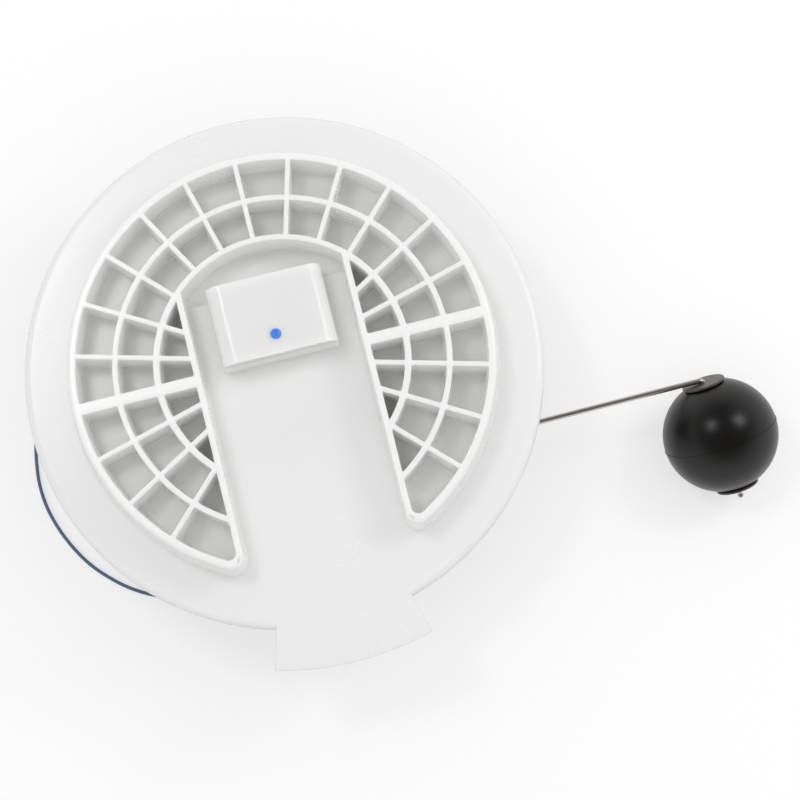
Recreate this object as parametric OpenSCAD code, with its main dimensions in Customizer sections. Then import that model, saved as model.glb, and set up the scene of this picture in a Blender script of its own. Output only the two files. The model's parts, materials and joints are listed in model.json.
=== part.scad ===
// Submersible pump hung under a ribbed round deck, with a ball float on a swinging rod.
// Millimetres. +Z up, origin on the deck's axis at the floor, tab towards -Y, float towards +X.

/* [Deck] */
// Radius of the deck at its widest circle
deck_r = 150; // [147:1:156]
// Wall of the deck plate and of its rim
deck_wall = 3.5; // [3:0.1:4]
// Height of the rounded edge between plate and rim
shoulder_h = 4.5; // [4.5:0.5:7]
// Width of the rounded edge between plate and rim
shoulder_w = 4.5; // [4.5:0.5:9]
// Height of the rim's straight skirt below the rounded edge
rim_drop = 8.5; // [6:0.5:9]
// Angle that the tab spans on the rim
tab_angle = 30.6; // [24:0.2:38]
// Length of the tab beyond the rim
tab_len = 23; // [17:1:26]
// Thickness of the tab
tab_t = 3; // [2.4:0.1:3.4]

/* [Rib field] */
// Height of the ribs above the plate
rib_h = 25; // [21:1:28]
// Outer radius of the field at its foot
field_r = 123.5; // [121:0.5:126]
// Thickness of the field's outer wall at its foot
field_wall = 7.5; // [6:0.5:9]
// Centre radius of the middle ring wall
mid_ring_r = 94.4; // [92:0.2:97]
// Centre radius of the inner ring wall
inner_ring_r = 71.3; // [70:0.1:74]
// Thickness of the ring walls at their foot
ring_wall = 4.2; // [3.4:0.1:4.8]
// Thickness of a radial rib at its foot
rib_w = 3.8; // [3.2:0.1:4.4]
// Thickness of the two wide ribs beside the axis
wide_rib_w = 7.6; // [6:0.2:9]
// Angle between neighbouring ribs
rib_step = 15; // [15:15:30]
// Amount that each rib face leans in over its height
rib_draft = 0.5; // [0.3:0.1:0.8]

/* [Channel] */
// Clear width of the channel between the two legs
channel_w = 92.8; // [90:0.4:96]
// Wall beside the channel at its foot
channel_wall = 4.4; // [3.6:0.1:5]
// Rounding of the leg tips
leg_tip_r = 8; // [6.5:0.5:9]
// Rise of the channel floor at its back end
ramp_rise = 2.5; // [1.5:0.5:3.5]
// Length of the rising channel floor
ramp_len = 86; // [70:2:96]

/* [Lamp hood] */
// Width of the hood across the channel
hood_w = 67; // [63:1:71]
// Length of the hood along the channel
hood_len = 46; // [43:1:48]
// Distance of the hood's front face from the deck axis
hood_front = 4; // [2:0.5:5]
// Height of the hood above the plate
hood_h = 28; // [26:0.5:30]
// Rounding of the hood's long edges
hood_edge_r = 9; // [6:0.5:11]
// Wall of the hood
hood_wall = 2.8; // [2.4:0.1:3.2]
// Fillet at the foot of the hood
hood_fillet = 5; // [3:0.5:6]
// Radius of the pilot lens
lens_r = 3; // [2.5:0.1:3.5]
// Distance of the pilot lens behind the hood's front face
lens_back = 11; // [9.5:0.5:14]

/* [Intake strainer] */
// Height of the strainer basket
strainer_h = 18; // [16:1:22]
// Outer radius of the strainer basket
strainer_r = 78; // [76:1:80]
// Wall and floor of the basket
strainer_wall = 3; // [2.5:0.1:3.5]
// Width of one intake slot
slot_w = 3.4; // [2.6:0.2:3.6]
// Number of intake slots
slots = 42; // [30:6:48]

/* [Pump end] */
// Height of the volute casing
volute_h = 27; // [27:0.5:29]
// Wall of the volute casing
volute_wall = 3.5; // [3:0.1:4]
// Inner radius of the spiral at its tongue
spiral_start_r = 44; // [43:0.5:46]
// Outer radius of the discharge spigot
spigot_r = 13; // [12.5:0.1:13]
// Radius of the discharge bore
discharge_r = 10.5; // [9.5:0.1:10.6]
// Distance of the spigot's mouth from the deck axis
spigot_reach = 120; // [110:1:126]
// Plain length of the spigot that takes the hose
spigot_len = 28; // [24:1:32]
// Radius of the intake eye
eye_r = 16; // [14:0.5:18]
// Outer radius of the impeller
impeller_r = 39; // [37:0.5:40]
// Number of impeller vanes
vanes = 6; // [4:1:8]
// Radius of the motor shaft
shaft_r = 4; // [3.5:0.1:4.5]

/* [Motor] */
// Thickness of the seal plate between pump and motor
seal_plate_t = 5; // [5:0.5:6]
// Height of the motor housing
motor_h = 34; // [34:0.5:38]
// Outer radius of the motor housing
motor_r = 56; // [55:0.5:58]
// Wall of the motor housing
motor_wall = 3.5; // [3:0.1:4]
// Width of the clamping flanges beyond the motor housing
flange_lip = 15; // [15:0.5:17]
// Thickness of one flange
flange_t = 4; // [3.5:0.1:4.5]
// Height of the bosses between the housing's ears and the deck
boss_h = 9.5; // [9:0.5:12]
// Outer radius of the rotor core
rotor_r = 27; // [25:0.5:29]
// Height of the stator stack
stack_h = 14; // [12:0.5:15]

/* [Float] */
// Radius of the float ball
ball_r = 35; // [33:0.5:38]
// Distance of the ball's centre from the pivot, along the rod
arm_reach = 147; // [142:1:154]
// Radius of the float rod
rod_r = 1.6; // [1.4:0.05:1.8]
// Radius of the washers on the ball
washer_r = 13; // [11:0.5:14]
// Thickness of the washers on the ball
washer_t = 1.5; // [1.2:0.1:1.8]

/* [Float switch] */
// Width of the switch case along the rod
case_w = 42; // [40:1:44]
// Depth of the switch case along the pivot
case_d = 36; // [35:0.5:38]
// Wall of the switch case
case_wall = 3; // [2.6:0.1:3.2]
// Small radius of the switch cam
cam_r = 8; // [7:0.25:8.5]
// Lift of the plunger over the arm's travel
cam_lift = 1.2; // [1:0.1:1.4]

/* [Leads] */
// Diameter of the float switch lead
lead_d = 2.1; // [1.9:0.1:2.2]
// Radius of the bore of the power cable gland
gland_bore_r = 4.2; // [3.8:0.1:4.6]

/* [Hidden] */
$fn = 96;
eps = 0.01;
gap = 0.3;
run_fit = 0.05;

// Levels, from the floor up.
z_volute = strainer_h;
z_seal = z_volute + volute_h;
z_motor = z_seal + seal_plate_t;
z_motor_top = z_motor + motor_h;
z_under = z_motor_top + boss_h;
z_plate = z_under + deck_wall;
z_widest = z_plate - shoulder_h;
z_lip = z_widest - rim_drop;
z_hood = z_plate + hood_h;

// Deck and rib field.
lip_round = deck_wall / 2;
rib_first = -45;
rib_last = 225;
leg_x = channel_w / 2;
tip_y = -sqrt(pow(field_r - leg_tip_r, 2) - pow(leg_x + leg_tip_r, 2));
well_r = inner_ring_r - ring_wall / 2;
edge_cut = 0.7;

// Lamp hood.
hood_mid_y = hood_front + hood_len / 2;
bay_w = hood_w - 2 * hood_wall;
bay_len = hood_len - 2 * hood_wall;
bay_post_r = 3.4;
bay_post_x = bay_w / 2 - bay_post_r + 0.8;
bay_post_y = bay_len / 2 - bay_post_r + 0.8;
bay_lap = 3;
bay_gasket_t = 1;
bay_cover_t = 2.4;
lens_y = hood_front + lens_back;
board_t = 1.6;
board_drop = 8;
z_board = z_hood - hood_wall - board_drop;
bay_screw_r = 1.4;
bay_screw_depth = 14;
lens_flange_t = 1.5;
z_cover = z_under - bay_gasket_t - bay_cover_t;

// Pump end.
spiral_growth = 14;
z_discharge = z_volute + volute_h / 2;
spigot_inset = 1.5;
discharge_x = spiral_start_r + spiral_growth + volute_wall - spigot_inset - spigot_r;
vane_clear = 0.8;
vane_h = 9;
shroud_t = 3;
hub_r = 9;
hub_h = 4.5;
z_vane = z_volute + volute_wall + vane_clear;
z_shroud = z_vane + vane_h;
z_hub_top = z_shroud + shroud_t + hub_h;
post_ring_r = 60;
post_r = 5;
strainer_screw_r = 1.8;
strainer_head_r = 3.6;
strainer_head_h = 2.2;
slot_floor = 1;
shaft_tap_r = 2;
shaft_tap_depth = 13;

// Motor.
flange_r = motor_r + flange_lip;
clamp_ring_r = flange_r - 5;
clamp_screw_r = 2;
clamp_head_r = 3.4;
clamp_head_h = 3.2;
clamp_count = 6;
bearing_r = 11;
bearing_h = 7;
bearing_wall = 3;
seal_r = 8;
seal_face_h = 2;
stator_gap = 0.4;
stack_drop = 9;
z_stack = z_motor + stack_drop;
coil_h = 6;
coil_in = 3;
coil_out = 5;
ear_out = 20;
ear_ring_r = motor_r + ear_out;
ear_r = 6;
ear_t = 6;
ear_count = 4;
ear_screw_r = 1.7;
ear_head_r = 3.4;
ear_head_h = 3;
fins = 24;
fin_t = 2;
fin_out = 2.5;
ring_seal_r = 1.2;
o_ring_r = clamp_ring_r - 5.3;
z_bearing_top = z_motor_top - motor_wall;

// Float arm, at rest with the ball just clear of the floor.
ball_lift = 0.5;
ball_tilt = 25;
bend_angle = 83;
land = 3;
ball_half = ball_r - land;
corner_len = ball_half + washer_t + 2.7;
corner_bend_r = 2.4;
bend_swell = 0.04;
pivot_bend_r = 4;
ball_z = ball_r + ball_lift;
arm_z = ball_z + corner_len * sin(bend_angle) * sin(ball_tilt);
arm_y = -60.5;
case_clear = 1;
pivot_off = 5;
case_x = flange_r + case_clear;
pivot_x = case_x + case_w / 2 + pivot_off;
corner_x = pivot_x + arm_reach - corner_len * cos(bend_angle);
tip_len = 7;
arm_travel = 30;
nut_t = 1.2;

// Float switch.
case_front = arm_y + pivot_bend_r + 6.5;
case_back = case_front + case_d;
case_mid_y = (case_front + case_back) / 2;
case_mid_x = case_x + case_w / 2;
case_floor_drop = 16.5;
z_case = arm_z - case_floor_drop;
z_case_top = z_under - boss_h;
cover_t = 2.6;
case_gasket_t = 0.8;
case_post_h = 15;
end_boss_t = 7;
z_case_body = z_case + cover_t + case_gasket_t;
case_post_r = 3;
case_post_x = case_w / 2 - case_wall - case_post_r + 0.5;
case_post_y = case_d / 2 - case_wall - case_post_r + 0.5;
case_screw_r = 1.2;
bushing_r = 4;
bushing_flange_r = 6;
bushing_flange_t = 2;
bushing_len = 6;
seal_ring_t = 2;
case_boss_r = 7;
case_boss_t = bushing_len + seal_ring_t - case_wall;
cam_t = 8;
cam_y = case_mid_y - cam_t / 2;
cam_hub_r = 5;
plunger_r = 1.5;
plunger_gap = 0.25;
plunger_len = 11;
z_plunger = arm_z + cam_r + plunger_gap;
switch_w = 22;
switch_d = 9;
switch_h = 12;
switch_gap = 4;
z_switch = z_plunger + switch_gap;
case_ear_r = 5;
case_ear_t = 4;
case_ear_out = 6;

// Glands and lead.
lead_r = lead_d / 2;
gland_r = 5;
gland_nut_r = 6.5;
gland_len = 9;
pad_proud = 1;
pad_depth = 14;
gland_rise = 16;
lead_gland_x = -motor_r - pad_proud;
lead_gland_y = 24;
lead_gland_z = z_motor + gland_rise;
case_gland_x = case_x + gland_nut_r + 1.5;
case_gland_z = z_case_body + gland_nut_r;
power_gland_x = -20;
power_gland_y = motor_r + pad_proud;
power_gland_z = z_motor + gland_rise;
power_gland_r = 9;
power_gland_len = 16;
conduit_r = 3;
conduit_x = -22;
conduit_y = 20;

// Route of the float switch lead: down from the motor's gland, round on the floor, up to the switch case.
lead_start = [lead_gland_x - gland_len - run_fit, lead_gland_y, lead_gland_z];
lead_end = [case_gland_x, case_front - gland_len - run_fit, case_gland_z];
lead_down = [
    [0, 0, 0], [-6, 0, 0], [-14, 1, -1.5], [-24, 4, -7], [-34, 8.5, -17], [-43, 13.5, -30], [-52, 18, -44]
];
lead_floor = [
    [-127, 45, 10.5], [-136, 44.5, 3.6], [-144.5, 40, 1.2], [-152, 31.5, 1.1], [-158, 20.5, 1.1],
    [-161.8, 8, 1.1], [-164.2, -5, 1.1], [-165.2, -18.5, 1.1], [-163.9, -32.5, 1.1], [-159.9, -47, 1.1],
    [-153.4, -61.5, 1.1], [-145.5, -74, 1.1], [-136, -84.5, 1.1], [-125.5, -93.5, 1.1], [-113, -101, 1.1],
    [-98.5, -106.5, 1.1], [-82, -110, 1.1], [-62, -111.5, 1.1], [-38, -111, 1.1], [-12, -109.5, 1.1],
    [14, -107, 1.1], [38, -103.5, 1.1], [56, -98.5, 1.4], [68, -91, 4.5]
];
lead_up = [
    [-4.5, -23.5, -32.5], [-1, -16, -22], [0, -10, -11], [0, -5.5, -3], [0, -2, -0.4], [0, 0, 0]
];
lead_route = concat([for (p = lead_down) lead_start + p], lead_floor, [for (p = lead_up) lead_end + p]);
lead_sides = 8;

// ---- helpers ----

module ring(r_out, r_in, h) {
    difference() {
        cylinder(r = r_out, h = h);
        translate([0, 0, -1]) cylinder(r = r_in, h = h + 2);
    }
}

module around(count, radius, first = 0) {
    for (i = [0 : count - 1])
        rotate([0, 0, first + i * 360 / count]) translate([radius, 0, 0]) children();
}

module at_corners(x, y) {
    for (sx = [-1, 1], sy = [-1, 1]) translate([sx * x, sy * y, 0]) children();
}

module block(x, y, z) {
    translate([-x / 2, -y / 2, 0]) cube([x, y, z]);
}

module rounded_block(x, y, z, r) {
    linear_extrude(height = z) {
        square([x - 2 * r, y], center = true);
        square([x, y - 2 * r], center = true);
        at_corners(x / 2 - r, y / 2 - r) circle(r = r);
    }
}

// Cap screw with its seat at z = 0, its shank up and its head down.
module cap_screw(shank_r, shank_len, head_r, head_h) {
    socket_r = head_r * 0.5;
    cylinder(r = shank_r, h = shank_len);
    difference() {
        translate([0, 0, -head_h]) cylinder(r = head_r, h = head_h);
        translate([0, 0, -head_h - 1]) cylinder(r = socket_r, h = 1 + head_h * 0.55, $fn = 6);
    }
}

// ---- deck ----

// Half profile of a wall that leans in on both faces, with cut edges on top.
module wall_profile(foot, height) {
    half = foot / 2;
    top = half - rib_draft;
    polygon([
        [-half, 0], [half, 0], [top, height - edge_cut], [top - edge_cut, height],
        [edge_cut - top, height], [-top, height - edge_cut]
    ]);
}

module ring_rib(radius, foot) {
    rotate_extrude() translate([radius, 0]) wall_profile(foot, rib_h);
}

module radial_rib(angle, foot) {
    rotate([0, 0, angle]) rotate([90, 0, 90]) linear_extrude(height = field_r - field_wall / 2)
        wall_profile(foot, rib_h);
}

module field_outer_wall() {
    lean = 2.4;
    rotate_extrude() polygon([
        [field_r - field_wall, 0], [field_r, 0], [field_r - lean + edge_cut, rib_h - 3],
        [field_r - lean - 1.2, rib_h], [field_r - field_wall + rib_draft + edge_cut, rib_h],
        [field_r - field_wall + rib_draft, rib_h - edge_cut]
    ]);
}

module leg_wall(side) {
    wall_x = leg_x + channel_wall / 2;
    back_end = sqrt(pow(inner_ring_r, 2) - pow(wall_x, 2));
    translate([side * wall_x, back_end, 0]) rotate([90, 0, 0])
        linear_extrude(height = back_end + leg_tip_r - tip_y) wall_profile(channel_wall, rib_h);
}

// Prism of the channel and of the well behind the hood.
module channel_space(height) {
    translate([-leg_x, -field_r - 10, 0]) cube([channel_w, field_r + 10, height]);
    intersection() {
        translate([-leg_x, -1, 0]) cube([channel_w, field_r, height]);
        cylinder(r = well_r, h = height);
    }
}

// Corner of a leg's tip that lies outside its rounding.
module tip_corner(side) {
    reach = leg_x + leg_tip_r;
    out = field_r / (field_r - leg_tip_r);
    difference() {
        linear_extrude(height = rib_h + 2) polygon([
            [side * (leg_x - 2), tip_y], [side * reach, tip_y], [side * reach * out, tip_y * out],
            [side * (reach * out + 6), tip_y - 2 * leg_tip_r], [side * (leg_x - 2), tip_y - 2 * leg_tip_r]
        ]);
        translate([side * reach, tip_y, -1])
            cylinder(r1 = leg_tip_r, r2 = leg_tip_r - 2 * rib_draft, h = rib_h + 4);
    }
}

// Thickens the wall inside a leg's rounded tip.
module leg_tip_fill(side) {
    fill_r = leg_tip_r - 2 * rib_draft - 0.1;
    translate([side * (leg_x + leg_tip_r), tip_y, 0]) intersection() {
        ring(fill_r, leg_tip_r - channel_wall, rib_h);
        translate([-leg_tip_r, -leg_tip_r, 0]) cube([2 * leg_tip_r, leg_tip_r, rib_h]);
    }
}

module rib_field() {
    difference() {
        union() {
            field_outer_wall();
            ring_rib(mid_ring_r, ring_wall);
            ring_rib(inner_ring_r, ring_wall);
            for (angle = [rib_first : rib_step : rib_last])
                radial_rib(angle, angle % 180 == 0 ? wide_rib_w : rib_w);
            for (side = [-1, 1]) {
                leg_wall(side);
                leg_tip_fill(side);
            }
        }
        translate([0, 0, -1]) channel_space(rib_h + 2);
        for (side = [-1, 1]) translate([0, 0, -1]) tip_corner(side);
    }
}

module deck_shell() {
    flat_r = deck_r - shoulder_w;
    rotate_extrude() difference() {
        union() {
            translate([0, z_under]) square([flat_r, deck_wall]);
            intersection() {
                translate([flat_r, z_widest]) scale([shoulder_w, shoulder_h]) circle(r = 1);
                translate([flat_r - 1, z_widest]) square([shoulder_w + 1, shoulder_h]);
            }
            translate([flat_r, z_lip + lip_round]) square([shoulder_w, rim_drop - lip_round]);
            translate([deck_r - lip_round, z_lip + lip_round]) circle(r = lip_round);
        }
        translate([0, z_lip - 1]) square([flat_r, z_under - z_lip + 1]);
        translate([flat_r - eps, z_lip - 1])
            square([shoulder_w - deck_wall + eps, z_widest - z_lip + 1]);
        intersection() {
            translate([flat_r, z_widest])
                scale([shoulder_w - deck_wall, shoulder_h - deck_wall]) circle(r = 1);
            translate([flat_r - 1, z_widest - eps]) square([shoulder_w, shoulder_h]);
        }
    }
}

module tab() {
    rotate([0, 0, -90 - tab_angle / 2]) translate([0, 0, z_plate - tab_t])
        rotate_extrude(angle = tab_angle)
            translate([deck_r - shoulder_w - 1, 0]) square([tab_len + shoulder_w + 1, tab_t]);
}

module hood_profile(w, h, r) {
    translate([-w / 2, 0]) square([w, h - r]);
    translate([-w / 2 + r, 0]) square([w - 2 * r, h]);
    for (side = [-1, 1]) translate([side * (w / 2 - r), h - r]) circle(r = r);
}

module hood_block(w, len, h, r) {
    rotate([90, 0, 0]) translate([0, 0, -len / 2]) linear_extrude(height = len) hood_profile(w, h, r);
}

// Concave fillet bar along X, its foot at z = 0 and its back at y = 0.
module foot_fillet(len) {
    difference() {
        translate([-len / 2, -hood_fillet, 0]) cube([len, hood_fillet + eps, hood_fillet]);
        translate([-len / 2 - 1, -hood_fillet, hood_fillet]) rotate([0, 90, 0])
            cylinder(r = hood_fillet, h = len + 2);
    }
}

module channel_ramp() {
    back = hood_front + hood_len - 4;
    translate([-leg_x, 0, z_plate - eps]) rotate([90, 0, 90]) linear_extrude(height = channel_w)
        polygon([[back - ramp_len, 0], [back, 0], [back, ramp_rise]]);
}

module deck_bosses() {
    translate([0, 0, z_motor_top]) around(ear_count, ear_ring_r, 45) cylinder(r = ear_r, h = boss_h + 1);
    at_case_ears() translate([0, 0, z_case_top]) cylinder(r = case_ear_r, h = boss_h + 1);
}

module bay_hollow() {
    difference() {
        hood_block(bay_w, bay_len, z_hood - hood_wall - z_under + 1, hood_edge_r - hood_wall);
        at_corners(bay_post_x, bay_post_y)
            translate([0, 0, -1]) cylinder(r = bay_post_r, h = z_board - z_under + 2);
    }
}

module deck() {
    hole_top = z_plate - 1.5;
    color([0.93, 0.94, 0.93]) difference() {
        union() {
            deck_shell();
            tab();
            translate([0, 0, z_plate - eps]) rib_field();
            channel_ramp();
            translate([0, hood_mid_y, z_plate - 1]) hood_block(hood_w, hood_len, hood_h + 1, hood_edge_r);
            translate([0, hood_front, z_plate]) foot_fillet(hood_w - 2);
            translate([0, hood_mid_y, z_under - bay_gasket_t]) at_corners(bay_post_x, bay_post_y)
                cylinder(r = bay_post_r, h = bay_gasket_t + 1);
            deck_bosses();
        }
        translate([0, hood_mid_y, z_under - 1]) bay_hollow();
        translate([0, hood_mid_y, z_under - 2]) at_corners(bay_post_x, bay_post_y)
            cylinder(r = bay_screw_r + run_fit, h = bay_screw_depth);
        translate([0, lens_y, z_hood - hood_wall - 1]) cylinder(r = lens_r + run_fit, h = hood_wall + 2);
        translate([0, 0, z_motor_top - 1]) around(ear_count, ear_ring_r, 45)
            cylinder(r = ear_screw_r + run_fit, h = hole_top - z_motor_top + 1);
        at_case_ears() translate([0, 0, z_case_top - 1])
            cylinder(r = ear_screw_r + run_fit, h = hole_top - z_case_top + 1);
    }
}

// ---- lamp bay under the hood ----

module bay_plate(t, grow) {
    rounded_block(bay_w + 2 * grow, bay_len + 2 * grow, t, bay_lap);
}

module bay_gasket() {
    color([0.16, 0.16, 0.17]) translate([0, hood_mid_y, z_under - bay_gasket_t]) difference() {
        bay_plate(bay_gasket_t, bay_lap);
        translate([0, 0, -1]) block(bay_w, bay_len, bay_gasket_t + 2);
        translate([0, 0, -1]) at_corners(bay_post_x, bay_post_y)
            cylinder(r = bay_post_r + run_fit, h = bay_gasket_t + 2);
    }
}

module bay_cover() {
    color([0.88, 0.89, 0.88]) difference() {
        translate([0, hood_mid_y, z_cover]) bay_plate(bay_cover_t, bay_lap);
        translate([0, hood_mid_y, z_cover - 1]) at_corners(bay_post_x, bay_post_y)
            cylinder(r = bay_screw_r + 0.1, h = bay_cover_t + 2);
        translate([conduit_x, conduit_y, z_cover - 1]) cylinder(r = conduit_r + run_fit, h = bay_cover_t + 2);
    }
}

module bay_screws() {
    color([0.72, 0.73, 0.74]) translate([0, hood_mid_y, z_cover]) at_corners(bay_post_x, bay_post_y)
        cap_screw(bay_screw_r, bay_screw_depth - 3, bay_screw_r + 1.2, 1.8);
}

module lamp_board() {
    color([0.12, 0.36, 0.20]) translate([0, hood_mid_y, z_board])
        rounded_block(bay_w - 1, bay_len - 1, board_t, 2);
}

module lamp_led() {
    led_h = z_hood - hood_wall - lens_flange_t - gap - z_board - board_t;
    led_r = min(lens_r - 0.5, led_h / 2 - 2 * run_fit);
    color([0.55, 0.70, 0.95]) translate([0, lens_y, z_board + board_t + run_fit]) {
        cylinder(r = led_r + 0.4, h = 1);
        cylinder(r = led_r, h = led_h - led_r);
        translate([0, 0, led_h - led_r]) sphere(r = led_r, $fn = 48);
    }
}

module pilot_lens() {
    dome_h = 1.6;
    dome_r = (lens_r * lens_r + dome_h * dome_h) / (2 * dome_h);
    color([0.13, 0.42, 0.90]) translate([0, lens_y, z_hood - hood_wall]) {
        translate([0, 0, -lens_flange_t]) cylinder(r = lens_r + 1.2, h = lens_flange_t);
        cylinder(r = lens_r, h = hood_wall);
        translate([0, 0, hood_wall]) intersection() {
            translate([0, 0, dome_h - dome_r]) sphere(r = dome_r);
            cylinder(r = lens_r, h = dome_h + 1);
        }
    }
}

module terminal_block() {
    ways = 3;
    pitch = 7;
    side = 9;
    from_mid = [-14, 10];
    screw_well_r = 1.6;
    wire_r = 1.3;
    color([0.20, 0.21, 0.23]) translate([from_mid.x, hood_mid_y + from_mid.y, z_board - side]) difference() {
        block(ways * pitch + 1, side, side);
        for (i = [0 : ways - 1]) translate([(i - (ways - 1) / 2) * pitch, 0, 0]) {
            translate([0, side / 6, -1]) cylinder(r = screw_well_r, h = side / 2);
            translate([0, -side / 2 - 1, side / 3]) rotate([-90, 0, 0]) cylinder(r = wire_r, h = side / 2);
        }
    }
}

module lamp_conduit() {
    color([0.25, 0.26, 0.28]) translate([conduit_x, conduit_y, z_motor_top])
        ring(conduit_r, conduit_r - 1, z_under - z_motor_top + 4);
}

// ---- intake strainer ----

module at_strainer_posts() {
    around(3, post_ring_r, 90) children();
}

module intake_strainer() {
    foot_cut = 2;
    rim_band = 3;
    slot_z = strainer_wall + slot_floor;
    color([0.17, 0.18, 0.20]) difference() {
        union() {
            rotate_extrude() polygon([
                [0, 0], [strainer_r - foot_cut, 0], [strainer_r, foot_cut], [strainer_r, strainer_h],
                [strainer_r - strainer_wall, strainer_h], [strainer_r - strainer_wall, strainer_wall],
                [0, strainer_wall]
            ]);
            at_strainer_posts() cylinder(r = post_r, h = strainer_h);
        }
        around(slots, strainer_r - strainer_wall / 2) translate([0, 0, slot_z])
            block(2 * strainer_wall, slot_w, strainer_h - slot_z - rim_band);
        at_strainer_posts() {
            translate([0, 0, -1]) cylinder(r = strainer_screw_r + run_fit, h = strainer_h + 2);
            translate([0, 0, -1]) cylinder(r = strainer_head_r + 0.2, h = strainer_head_h + gap + 1);
        }
    }
}

module strainer_screws() {
    seat = strainer_head_h + gap;
    color([0.72, 0.73, 0.74]) at_strainer_posts() translate([0, 0, seat])
        cap_screw(strainer_screw_r, strainer_h + volute_wall - seat - 0.5, strainer_head_r, strainer_head_h);
}

// ---- pump end ----

function spiral(start, growth) = [
    for (a = [0 : 10 : 360]) let (r = start + growth * a / 360) [r * cos(a), r * sin(a)]
];

module along_discharge(from_y, len, r) {
    translate([discharge_x, from_y, z_discharge]) rotate([-90, 0, 0]) cylinder(r = r, h = len);
}

module seal_groove(z) {
    depth = 2 * (ring_seal_r + run_fit);
    translate([0, 0, z - depth])
        ring(o_ring_r + ring_seal_r + run_fit, o_ring_r - ring_seal_r - run_fit, depth + 1);
}

module volute_casing() {
    collar_t = 4;
    color([0.20, 0.21, 0.23]) difference() {
        union() {
            translate([0, 0, z_volute]) cylinder(r = strainer_r, h = volute_wall);
            translate([0, 0, z_volute]) linear_extrude(height = volute_h)
                polygon(spiral(spiral_start_r + volute_wall, spiral_growth));
            translate([0, 0, z_seal - flange_t]) cylinder(r = flange_r, h = flange_t);
            along_discharge(0, spigot_reach, spigot_r);
            along_discharge(spigot_reach - spigot_len - collar_t, collar_t, spigot_r + collar_t - 1);
        }
        translate([0, 0, z_volute + volute_wall]) linear_extrude(height = volute_h)
            polygon(spiral(spiral_start_r, spiral_growth));
        along_discharge(0, spigot_reach + 1, discharge_r);
        translate([0, 0, z_volute - 1]) cylinder(r = eye_r, h = volute_wall + 2);
        translate([0, 0, z_seal - flange_t - 1]) around(clamp_count, clamp_ring_r)
            cylinder(r = clamp_screw_r + run_fit, h = flange_t + 2);
        at_strainer_posts() translate([0, 0, z_volute - 1])
            cylinder(r = strainer_screw_r + run_fit, h = volute_wall + 1 - gap);
        seal_groove(z_seal);
    }
}

// Outline of one vane that sweeps back from the hub to the rim.
function vane_outline(sweep, half_t) = let (steps = 8, inner = hub_r - 1, span = impeller_r - hub_r + 0.5)
    concat(
        [for (i = [0 : steps]) let (r = inner + span * i / steps, a = -sweep * i / steps + half_t / r * 57.3)
            [r * cos(a), r * sin(a)]],
        [for (i = [steps : -1 : 0]) let (r = inner + span * i / steps, a = -sweep * i / steps - half_t / r * 57.3)
            [r * cos(a), r * sin(a)]]
    );

module impeller() {
    color([0.82, 0.79, 0.70]) difference() {
        union() {
            translate([0, 0, z_vane]) cylinder(r = hub_r, h = z_hub_top - z_vane);
            translate([0, 0, z_shroud]) cylinder(r = impeller_r, h = shroud_t);
            translate([0, 0, z_vane]) for (i = [0 : vanes - 1]) rotate([0, 0, i * 360 / vanes])
                linear_extrude(height = vane_h + 1) polygon(vane_outline(62, 1.2));
        }
        translate([0, 0, z_vane - 1]) cylinder(r = shaft_r + run_fit, h = z_hub_top - z_vane + 2);
    }
}

module impeller_screw() {
    color([0.72, 0.73, 0.74]) translate([0, 0, z_vane])
        cap_screw(shaft_tap_r, shaft_tap_depth - 1, shaft_r + 1.5, 2.8);
}

// ---- motor ----

module motor_shaft() {
    collar_h = 0.9;
    color([0.75, 0.76, 0.77]) difference() {
        union() {
            translate([0, 0, z_vane]) cylinder(r = shaft_r, h = z_bearing_top - gap - z_vane);
            translate([0, 0, z_stack - collar_h]) cylinder(r = shaft_r + 1.5, h = collar_h - 0.05);
        }
        translate([0, 0, z_vane - 1]) cylinder(r = shaft_tap_r + run_fit, h = shaft_tap_depth + 1);
    }
}

module rotor_core() {
    end_ring_t = 1.5;
    color([0.55, 0.56, 0.58]) {
        translate([0, 0, z_stack]) ring(rotor_r, shaft_r + run_fit, stack_h);
        for (z = [z_stack - end_ring_t, z_stack + stack_h])
            translate([0, 0, z]) ring(rotor_r - 1, rotor_r - 9, end_ring_t);
    }
}

module seal_rotating_face() {
    color([0.28, 0.28, 0.30]) translate([0, 0, z_hub_top])
        ring(seal_r - 0.5, shaft_r + run_fit, z_seal - gap - z_hub_top);
}

module seal_seat() {
    color([0.86, 0.85, 0.82]) translate([0, 0, z_seal]) ring(seal_r, shaft_r + 0.6, seal_face_h);
}

module seal_plate() {
    ledge = 1;
    color([0.62, 0.63, 0.65]) difference() {
        union() {
            translate([0, 0, z_seal]) cylinder(r = flange_r, h = seal_plate_t);
            translate([0, 0, z_seal]) cylinder(r = bearing_r + bearing_wall, h = seal_plate_t + ledge + bearing_h);
        }
        translate([0, 0, z_motor + ledge]) cylinder(r = bearing_r + run_fit, h = bearing_h + 1);
        translate([0, 0, z_seal - 1]) cylinder(r = shaft_r + 0.6, h = seal_plate_t + 3);
        translate([0, 0, z_seal - 1]) cylinder(r = seal_r + run_fit, h = seal_face_h + 1);
        translate([0, 0, z_seal - 1]) around(clamp_count, clamp_ring_r)
            cylinder(r = clamp_screw_r + run_fit, h = seal_plate_t + 2);
        seal_groove(z_motor);
    }
}

module bearing() {
    shield = 0.6;
    color([0.70, 0.71, 0.73]) difference() {
        ring(bearing_r, shaft_r + run_fit, bearing_h);
        for (z = [-1, bearing_h - shield])
            translate([0, 0, z]) ring(bearing_r - 2, shaft_r + 2, shield + 1);
    }
}

module lower_bearing() {
    translate([0, 0, z_motor + 1]) bearing();
}

module upper_bearing() {
    translate([0, 0, z_bearing_top - bearing_h]) bearing();
}

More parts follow.
